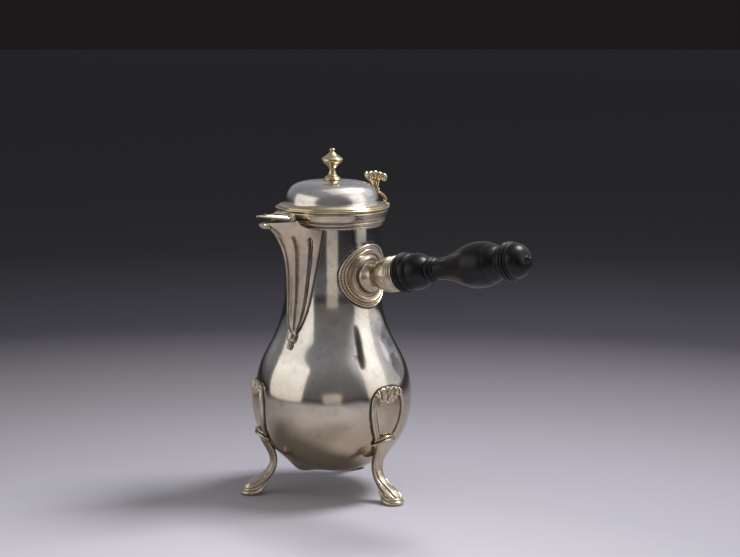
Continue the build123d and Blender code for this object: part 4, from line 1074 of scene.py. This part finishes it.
class POT_OT_handle(PotOperator):
    """Turned silver socket, the ebonised grip in it and the pin across them"""

    bl_idname = "pot.handle"
    bl_label = "Handle"

    def execute(self, context):
        socket = joined(
            [(0, -3.2), (11.4, -3.2)],
            smooth([(11.4, -2.8), (11.35, -0.5), (11.2, 1.0), (10.75, 2.2)], 5),
            [(10.5, 2.3), (10.4, 2.6)],
            smooth([(10.2, 2.8), (9.5, 4.4), (8.9, 6.0), (8.7, 7.4), (8.85, 8.8), (9.4, 10.4)], 6),
            [(9.75, 10.5), (9.95, 10.7)],
            smooth([(10.1, 10.8), (11.2, 13.0), (12.1, 16.0), (12.65, 19.4), (12.75, 21.4), (12.6, 22.8)], 6),
            [(12.25, 23.0), (12.2, 23.3)],
            bead(11.95, 24.0, 0.75, -60, 60, 7), [(12.15, 24.75)],
            bead(11.95, 25.55, 0.75, -60, 60, 7), [(12.15, 26.3)],
            bead(11.95, 27.1, 0.75, -60, 60, 7), [(12.1, 27.9)],
            smooth([(12.15, 28.1), (12.35, 28.4), (12.6, 29.2), (12.75, 30.1), (12.6, 30.45)], 5),
            [(12.2, 30.5), (0, 30.5)],
        )
        dress(turned("handle_ferrule", socket, 160, along_handle()), "pot", "silver", finish("cast silver"),
              "handle_socket", reach=0.6)
        grip = joined(
            [(0, 30.52), (12.15, 30.52), (12.3, 30.8), (12.3, 31.9)],
            bead(13.4, 33.6, 1.0, -80, 80, 9), [(13.55, 34.75), (13.9, 34.95)],
            bead(13.35, 35.75, 0.85, -40, 90, 7), [(13.0, 36.75)],
            smooth([(13.1, 36.8), (13.0, 38.2), (12.75, 40.0)], 4), [(12.55, 40.15), (12.6, 40.5)],
            bead(12.15, 41.2, 0.8, -50, 70, 6), [(12.1, 42.1)],
            smooth([(12.2, 42.2), (12.7, 43.6), (12.75, 45.6), (12.2, 48.4), (11.0, 51.2), (9.2, 53.7),
                    (7.6, 55.2)], 7),
            [(6.95, 55.5), (6.9, 56.5), (7.3, 56.8)],
            bead(7.55, 58.6, 1.65, -75, 80, 10), [(7.35, 60.6), (7.3, 61.0)],
            bead(7.0, 62.2, 1.0, -70, 75, 8), [(7.0, 63.5)],
            smooth([(7.15, 63.7), (7.35, 65.2), (7.75, 68.6), (8.7, 74.3), (10.9, 81.7), (13.7, 89.4), (15.4, 96.0),
                    (15.7, 100.0), (15.35, 105.4), (14.4, 109.6), (13.75, 111.2)], 8),
            [(13.45, 111.35), (13.4, 111.65)],
            smooth([(13.55, 111.8), (12.6, 114.2), (11.0, 117.0), (9.75, 118.9), (9.55, 119.9)], 6),
            smooth([(9.75, 120.1), (10.5, 121.4), (10.7, 122.4), (10.55, 123.2)], 4),
            [(10.6, 123.5), (11.6, 123.9), (12.4, 124.3)],
            bead(12.45, 125.25, 0.95, -70, 75, 8), [(12.55, 126.25)],
            bead(12.4, 127.4, 1.05, -65, 75, 8), [(12.3, 128.55)],
            bead(11.9, 129.5, 0.9, -55, 60, 7), [(11.9, 130.5)],
            smooth([(11.95, 130.6), (11.75, 132.4), (10.9, 134.9), (9.3, 137.1), (7.0, 138.9), (4.4, 139.9),
                    (2.9, 140.15)], 6),
            smooth([(2.6, 140.2), (2.15, 140.7), (1.95, 141.5), (1.6, 142.4), (0.9, 142.9), (0, 143.0)], 5),
        )
        wood = turned("turned_grip", grip, 200, along_handle())
        dress(wood, "pot", "ebonised_wood", finish("ebonised turned wood"), "handle_grip", reach=0.7)
        dress(cad_copy("handle_pin", "ferrule_pin", 0.25), "pot", "pin_silver", finish("cast silver"), "handle_pin",
              reach=0.3)
        return {"FINISHED"}


# ------------------------------------------------------------------ feet
SHIELD_EDGE = smooth([         # across and height, from the top of the shield round its right side to the ribbon
    (0.0, 84.2), (5.5, 83.9), (9.6, 82.6), (12.8, 80.0), (14.9, 76.6), (16.0, 72.0), (16.2, 67.0), (15.6, 61.5),
    (14.1, 56.0), (12.0, 51.0), (9.8, 46.5), (8.4, 42.5), (7.6, 40.0),
], 12)
SHIELD_MIDDLE = 62.0
SHIELD_STEPS = [               # distance in from the edge and height above the belly
    (0.0, -0.5), (0.06, 0.5), (0.4, 1.5), (0.9, 2.0), (1.5, 2.1), (2.0, 1.85), (2.35, 1.4), (2.6, 1.4), (2.9, 1.75),
    (3.3, 1.85), (3.7, 1.6), (3.95, 0.8), (4.2, 0.4), (4.6, 0.5), (5.2, 0.95), (7.0, 1.35), (12.0, 1.7),
]
LOBES = [(-9.4, 5.0), (-4.9, 8.0), (0.0, 9.6), (4.9, 8.0), (9.4, 5.0)]     # across, length down from the top
LEG = [                        # reach, height, half width, thickness
    (53.9, 47.6, 8.2, 4.0), (53.2, 45.4, 8.4, 5.4), (51.4, 41.0, 7.4, 6.0), (48.2, 35.0, 5.9, 5.9),
    (45.5, 28.6, 4.6, 5.4), (45.0, 21.8, 4.1, 5.2), (47.4, 16.2, 4.2, 5.5),
    (52.0, 11.7, 4.8, 6.6), (57.4, 8.0, 5.4, 8.0), (61.6, 5.6, 5.6, 8.0),
    (64.4, 4.4, 5.0, 6.2), (65.6, 4.0, 3.9, 5.0), (66.2, 3.8, 2.4, 3.6),
]


def shield_lift(x, z, inward):
    """Height of a foot's shield above the belly: a double border, a groove, a plain field and a crown of lobes."""
    lift = float(np.interp(inward, [d for d, _ in SHIELD_STEPS], [up for _, up in SHIELD_STEPS]))
    for middle, tall in LOBES:
        across = (x - middle * (1 + 0.03 * (z - 76))) / 2.25
        foot = 84.2 - tall - 0.03 * middle * middle
        if abs(across) < 1.12 and z > foot:
            swell = math.sqrt(max(1 - across * across, 0)) * min((z - foot) / 1.3, 1) ** 0.5
            swell *= min(inward / 1.2, 1) ** 0.5
            hollow = 0.8 * math.exp(-((across / 0.2) ** 2)) * min(max((z - foot - 2.5) / 1.5, 0), 1)
            lift = 0.3 + 3.1 * swell - hollow * (inward > 1.5)
    return lift if inward > 0.05 else -0.5


def drawn_in(x, z, deep):
    """Point of the shield's outline moved in towards the shield's middle by a depth."""
    share = max(1 - deep / math.hypot(x, z - SHIELD_MIDDLE), 0.03)
    return x * share, SHIELD_MIDDLE + (z - SHIELD_MIDDLE) * share


def shield_plate(turn):
    """Moulded shield lying on the belly, from its edge in to its middle."""
    edge = SHIELD_EDGE[::-1] + [(-x, z) for x, z in SHIELD_EDGE[1:]]
    border = np.array(edge)
    outline = edge + [(x, edge[0][1]) for x in np.linspace(edge[-1][0], edge[0][0], 26)[1:-1]]
    rings = []
    for deep in np.concatenate([[0, 0.05], np.arange(0.2, 6.2, 0.2), [6.7, 7.5, 8.6, 10, 12, 14.5]]):
        ring = []
        for x, z in outline:
            px, pz = drawn_in(x, z, deep)
            inward = float(np.hypot(border[:, 0] - px, border[:, 1] - pz).min())
            ring.append(on_vessel(px, pz, turn, shield_lift(px, pz, inward if deep else 0)))
        rings.append(ring)
    return skinned(rings)


def raised_line(points, radii, turn, sides):
    """Round moulding laid on the belly along points of (across, height, lift)."""
    return rod([on_vessel(x, z, turn, lift) for x, z, lift in points], radii, sides)


def leg_frames():
    """Stations down the leg: reach, height, half width, thickness and the direction that its face looks in."""
    stations = smooth(LEG, 12)
    for i, (r, z, half, thick) in enumerate(stations):
        before, after = stations[max(i - 1, 0)], stations[min(i + 1, len(stations) - 1)]
        out, up = after[0] - before[0], after[1] - before[1]
        length = math.hypot(out, up)
        yield r, z, half, thick, (-up / length, out / length)


def leg_solid(turn):
    """Cabriole leg: a swept section with a raised face between two channels."""
    sides, rings = 72, []
    for r, z, half, thick, front in leg_frames():
        ring = []
        for k in range(sides):
            b = 2 * math.pi * k / sides
            c, s = math.cos(b), math.sin(b)
            x = half * math.copysign(abs(c) ** 0.62, c)
            y = thick / 2 * math.copysign(abs(s) ** 0.8, s)
            if s > 0:
                across = abs(x) / half
                y -= 0.85 * math.exp(-(((across - 0.72) / 0.12) ** 2)) * min(max((48 - z) / 4, 0), 1)
            ring.append(about_axis(r + front[0] * y, x, max(z + front[1] * y, 0.0), turn))
        rings.append(ring)
    return skinned(rings)


def toe_mouldings(turn):
    """Three rounded mouldings stacked round the toe, the top one running on up both edges of the leg."""
    side = [(r + front[0] * thick * 0.24, half - 0.25, z + front[1] * thick * 0.24)
            for r, z, half, thick, front in leg_frames() if z < 44 and r < 52][::3]
    made = []
    for reach, wide, level, girth, heel in (       # heel: the line (reach, half width, height) from the leg forwards
        (6.5, 6.2, 1.66, 1.6, [(51.2, 3.4, 7.4), (54.4, 4.5, 4.6), (57.6, 5.6, 2.6)]),
        (5.6, 5.6, 4.15, 1.15, [(50.6, 3.6, 10.6), (53.6, 4.3, 7.6), (57.0, 5.0, 5.2)]),
        (3.8, 4.6, 6.1, 1.0, side + [(52.6, 4.1, 10.2), (56.0, 4.4, 7.9)]),
    ):
        front = [(61.0 + reach * math.cos(a), wide * math.sin(a), level - 0.4 * (level > 2) * math.cos(a))
                 for a in np.radians(np.linspace(82, -82, 15))]
        line = smooth(heel + front + [(r, -x, z) for r, x, z in heel[::-1]], 3)
        made.append(rod([about_axis(*q, turn) for q in line],
                        [girth * float(np.interp(r, [50, 58], [0.6, 1.0])) for r, x, z in line], 18))
    for w in (0.45, -0.45):
        flesh = [(52.5, 4 * w, 6.2), (56, 5 * w, 3.2), (60, 6 * w, 2.2), (65, 5 * w, 2.2)]
        made.append(rod([about_axis(*q, turn) for q in smooth(flesh, 4)], [2.1] * 13, 14))
    return made


class POT_OT_feet(PotOperator):
    """Three cast cabriole feet, each with its moulded shield and shell crown on the belly"""

    bl_idname = "pot.feet"
    bl_label = "Feet"

    def execute(self, context):
        for node, turn in FEET.items():
            parts = [shield_plate(turn), leg_solid(turn)] + toe_mouldings(turn)
            ribbon = smooth([(-9.7, 42.9, 1.2), (-8.0, 44.6, 2.6), (-4.4, 46.5, 3.7), (0, 47.2, 4.1), (4.4, 46.5, 3.7),
                             (8.0, 44.6, 2.6), (9.7, 42.9, 1.2)], 6)
            swell = [math.sin(math.pi * k / (len(ribbon) - 1)) for k in range(len(ribbon))]
            parts.append(raised_line(ribbon, [0.95 + 0.6 * k for k in swell], turn, 18))
            over = [(x * 0.98, z + 2.35, lift - 0.7) for x, z, lift in ribbon]
            parts.append(raised_line(over, [0.5 + 0.3 * k for k in swell], turn, 14))
            foot = mesh_object(node.replace("foot", "cabriole_foot"), *merged(*parts), angle=60)
            dress(foot, "pot", "silver", finish("cast silver"), node, reach=0.55, rounds=3)
            inner = [drawn_in(x, z, 4.25) for x, z in SHIELD_EDGE if z > 46]
            groove = [on_vessel(side * x, z, turn, 0.6) for x, z in inner if abs(x) > 9 or z < 74 for side in (-1, 1)]
            rim = [on_vessel(side * x, z, turn, 0.2) for x, z in SHIELD_EDGE for side in (-1, 1)]
            crease = [on_vessel(x * 0.98, z + 1.45, turn, lift + 0.1) for x, z, lift in ribbon]
            soil(foot, [groove, rim, crease], 0.95)
        return {"FINISHED"}


# ------------------------------------------------------------------ stage
CAMERA_REACH = 1.21707
CAMERA_HEIGHT = 0.33295
CAMERA_TURN = 43.0             # degrees from the spout's side, towards the handle
CAMERA_PITCH = 8.29
FOCAL_PIXELS = 1700.0
FRAME_WIDTH = 740
AXIS_PIXEL = 332.3             # column of the frame that the pot's axis falls in
LAMPS = [                      # name, azimuth from the camera, height, reach, width, tall, watts, colour
    ("left softbox", -74, 0.42, 1.05, 1.25, 0.90, 3.3, "fffbf4"),
    ("right softbox", 69, 0.50, 1.10, 0.78, 0.96, 1.35, "fffbf4"),
    ("rear right softbox", 122, 0.80, 1.15, 0.75, 0.60, 0.7, "eef2ff"),
    ("key over the right shoulder", 105, 1.24, 0.68, 0.42, 0.42, 14.5, "fbfaff"),
    ("low strip", -1, 0.10, 0.80, 0.36, 0.16, 0.09, "fff4e4"),
    ("overhead", 35, 1.40, 0.30, 0.9, 0.9, 1.1, "ffffff"),
]


PAPER_WITH_PAINTED_LIGHT = [                      # distance from a place before the pot as a share of 8 m, and the paper's colour there: pale near that place and dark away from it, a painted pool of light
    (0.05, "c5c3ca"), (0.0685, "b2afb7"), (0.0875, "999599"), (0.135, "4b4850"), (0.22, "2c2b2d"), (0.5, "252425"),
    (1.0, "141314"),
]
ROOM = [(0.0, "39373a"), (0.10, "2a292b"), (0.6, "3d3c40"), (1.0, "6e6d72")]      # by height, as it lights the pot
SHEEN = [(0.0, "505055"), (0.12, "646469"), (0.45, "87878d"), (1.0, "9c9ca1")]    # and as the silver mirrors it


def seen_from(azimuth, reach):
    """Place on the floor at an azimuth from the camera's side, positive to its right."""
    a = math.radians(azimuth + CAMERA_TURN - 90)
    return Vector((reach * math.cos(a), reach * math.sin(a), 0))


class POT_OT_stage(PotOperator):
    """Paper sweep, lamps, world and camera"""

    bl_idname = "pot.stage"
    bl_label = "Stage"

    def execute(self, context):
        stage = context.scene.pot_stage
        paper = bpy.data.meshes.new("paper")
        work = bmesh.new()
        bmesh.ops.create_circle(work, cap_ends=True, radius=30.0, segments=96)
        work.to_mesh(paper)
        work.free()
        floor = bpy.data.objects.new("paper_floor", paper)
        context.scene.collection.objects.link(floor)
        made, tree, shader, place = new_material("paper with a painted pool of light")
        # painted pool of light: the paper is pale round a place before the pot and darkens outwards
        near = add(tree, "ShaderNodeVectorMath", {0: place, 1: -seen_from(-10, 0.4)}, operation="ADD")
        away = add(tree, "ShaderNodeVectorMath", {0: near.outputs[0]}, operation="LENGTH").outputs["Value"]
        depth = math_node(tree, "MULTIPLY", away, 1 / 8)
        wire(tree, shader, Base_Color=ramp(tree, depth, (0.0275, tuple(stage.floor)), *PAPER_WITH_PAINTED_LIGHT))
        shader.inputs["Roughness"].default_value = 0.9
        shader.inputs["Specular IOR Level"].default_value = 0.15
        floor.data.materials.append(made)

        world = bpy.data.worlds.new("studio")
        context.scene.world = world
        world.use_nodes = True
        room = world.node_tree
        room.nodes.clear()
        direction = add(room, "ShaderNodeTexCoord").outputs["Generated"]
        level = add(room, "ShaderNodeSeparateXYZ", {"Vector": direction}).outputs["Z"]

        def facing(way, *stops):
            """Ramp over how nearly a ray goes one way"""
            dot = add(room, "ShaderNodeVectorMath", {0: direction, 1: way}, operation="DOT_PRODUCT")
            return ramp(room, dot.outputs["Value"], *stops)

        lit = facing(seen_from(0, 1), (0.55, 0.0), (0.97, 1.0))
        window = facing(seen_from(100, 0.80) + Vector((0, 0, 0.60)), (0.55, 0.0), (0.93, 1.0))
        rear = math_node(room, "MULTIPLY", facing(seen_from(160, 1), (0.10, 0.0), (0.75, 1.0)),
                         ramp(room, level, (0.05, 0.0), (0.20, 1.0), (0.70, 1.0), (0.95, 0.3)))
        seen = mix(room, lit, ramp(room, level, *ROOM), "706f72")
        seen = mix(room, rear, seen, "9a9aa2")
        shone = mix(room, window, ramp(room, level, *SHEEN), "ffffff")
        shone = mix(room, lit, shone, "706f72")
        shone = mix(room, rear, shone, "a0a0a8")
        rays = add(room, "ShaderNodeLightPath").outputs
        shade = mix(room, rays["Is Glossy Ray"], seen, shone)
        shade = mix(room, rays["Is Camera Ray"], shade, tuple(stage.backdrop))
        glow = add(room, "ShaderNodeBackground", {"Color": shade, "Strength": 1.0})
        add(room, "ShaderNodeOutputWorld", {"Surface": glow.outputs[0]})

        for name, azimuth, height, reach, wide, tall, watts, tint in LAMPS:
            light = bpy.data.lights.new(name, "AREA")
            light.shape, light.size, light.size_y = "RECTANGLE", wide, tall
            light.energy, light.color = watts * stage.strength, linear(tint)
            lamp = bpy.data.objects.new(name, light)
            lamp.location = seen_from(azimuth, reach) + Vector((0, 0, height))
            lamp.rotation_euler = (Vector((0, 0, 0.13)) - lamp.location).to_track_quat("-Z", "Y").to_euler()
            lamp.visible_camera = False
            context.scene.collection.objects.link(lamp)

        camera = bpy.data.objects.new("camera", bpy.data.cameras.new("camera"))
        camera.data.sensor_width = 36.0
        camera.data.lens = FOCAL_PIXELS / FRAME_WIDTH * 36.0
        camera.data.clip_end = 100
        camera.location = seen_from(0, CAMERA_REACH) + Vector((0, 0, CAMERA_HEIGHT))
        yaw = math.atan((FRAME_WIDTH / 2 - AXIS_PIXEL) / FOCAL_PIXELS)
        heading = math.radians(CAMERA_TURN) - yaw
        camera.rotation_euler = (math.pi / 2 - math.radians(CAMERA_PITCH), 0, heading)
        context.scene.collection.objects.link(camera)
        context.scene.camera = camera
        context.scene.view_settings.view_transform = "Standard"
        return {"FINISHED"}


PIECES = [POT_OT_vessel, POT_OT_collar, POT_OT_lid, POT_OT_finial, POT_OT_hinge, POT_OT_spout, POT_OT_flap,
          POT_OT_escutcheon, POT_OT_handle, POT_OT_feet, POT_OT_stage]


class POT_PT_panel(bpy.types.Panel):
    """The pot's settings and its pieces, in the order they are made"""

    bl_label = "Chocolate pot"
    bl_idname = "POT_PT_panel"
    bl_space_type = "VIEW_3D"
    bl_region_type = "UI"
    bl_category = "Pot"

    def draw(self, context):
        scene = context.scene
        for settings in (scene.pot_silver, scene.pot_wood, scene.pot_stage):
            box = self.layout.box()
            for key in settings.__annotations__:
                box.prop(settings, key)
        for piece in PIECES:
            self.layout.operator(piece.bl_idname)


SETTINGS = {"pot_silver": SilverSettings, "pot_wood": WoodSettings, "pot_stage": StageSettings}


def register():
    """Adds the settings, operators and panel."""
    for made in (*SETTINGS.values(), *PIECES, POT_PT_panel):
        bpy.utils.register_class(made)
    for key, made in SETTINGS.items():
        setattr(bpy.types.Scene, key, bpy.props.PointerProperty(type=made))


def unregister():
    """Takes them away again."""
    for key in SETTINGS:
        delattr(bpy.types.Scene, key)
    for made in (POT_PT_panel, *reversed(PIECES), *SETTINGS.values()):
        bpy.utils.unregister_class(made)


def main():
    """Makes every piece and the stage."""
    register()
    for piece in PIECES:
        group, name = piece.bl_idname.split(".")
        getattr(getattr(bpy.ops, group), name)()


if __name__ == "__main__":
    main()
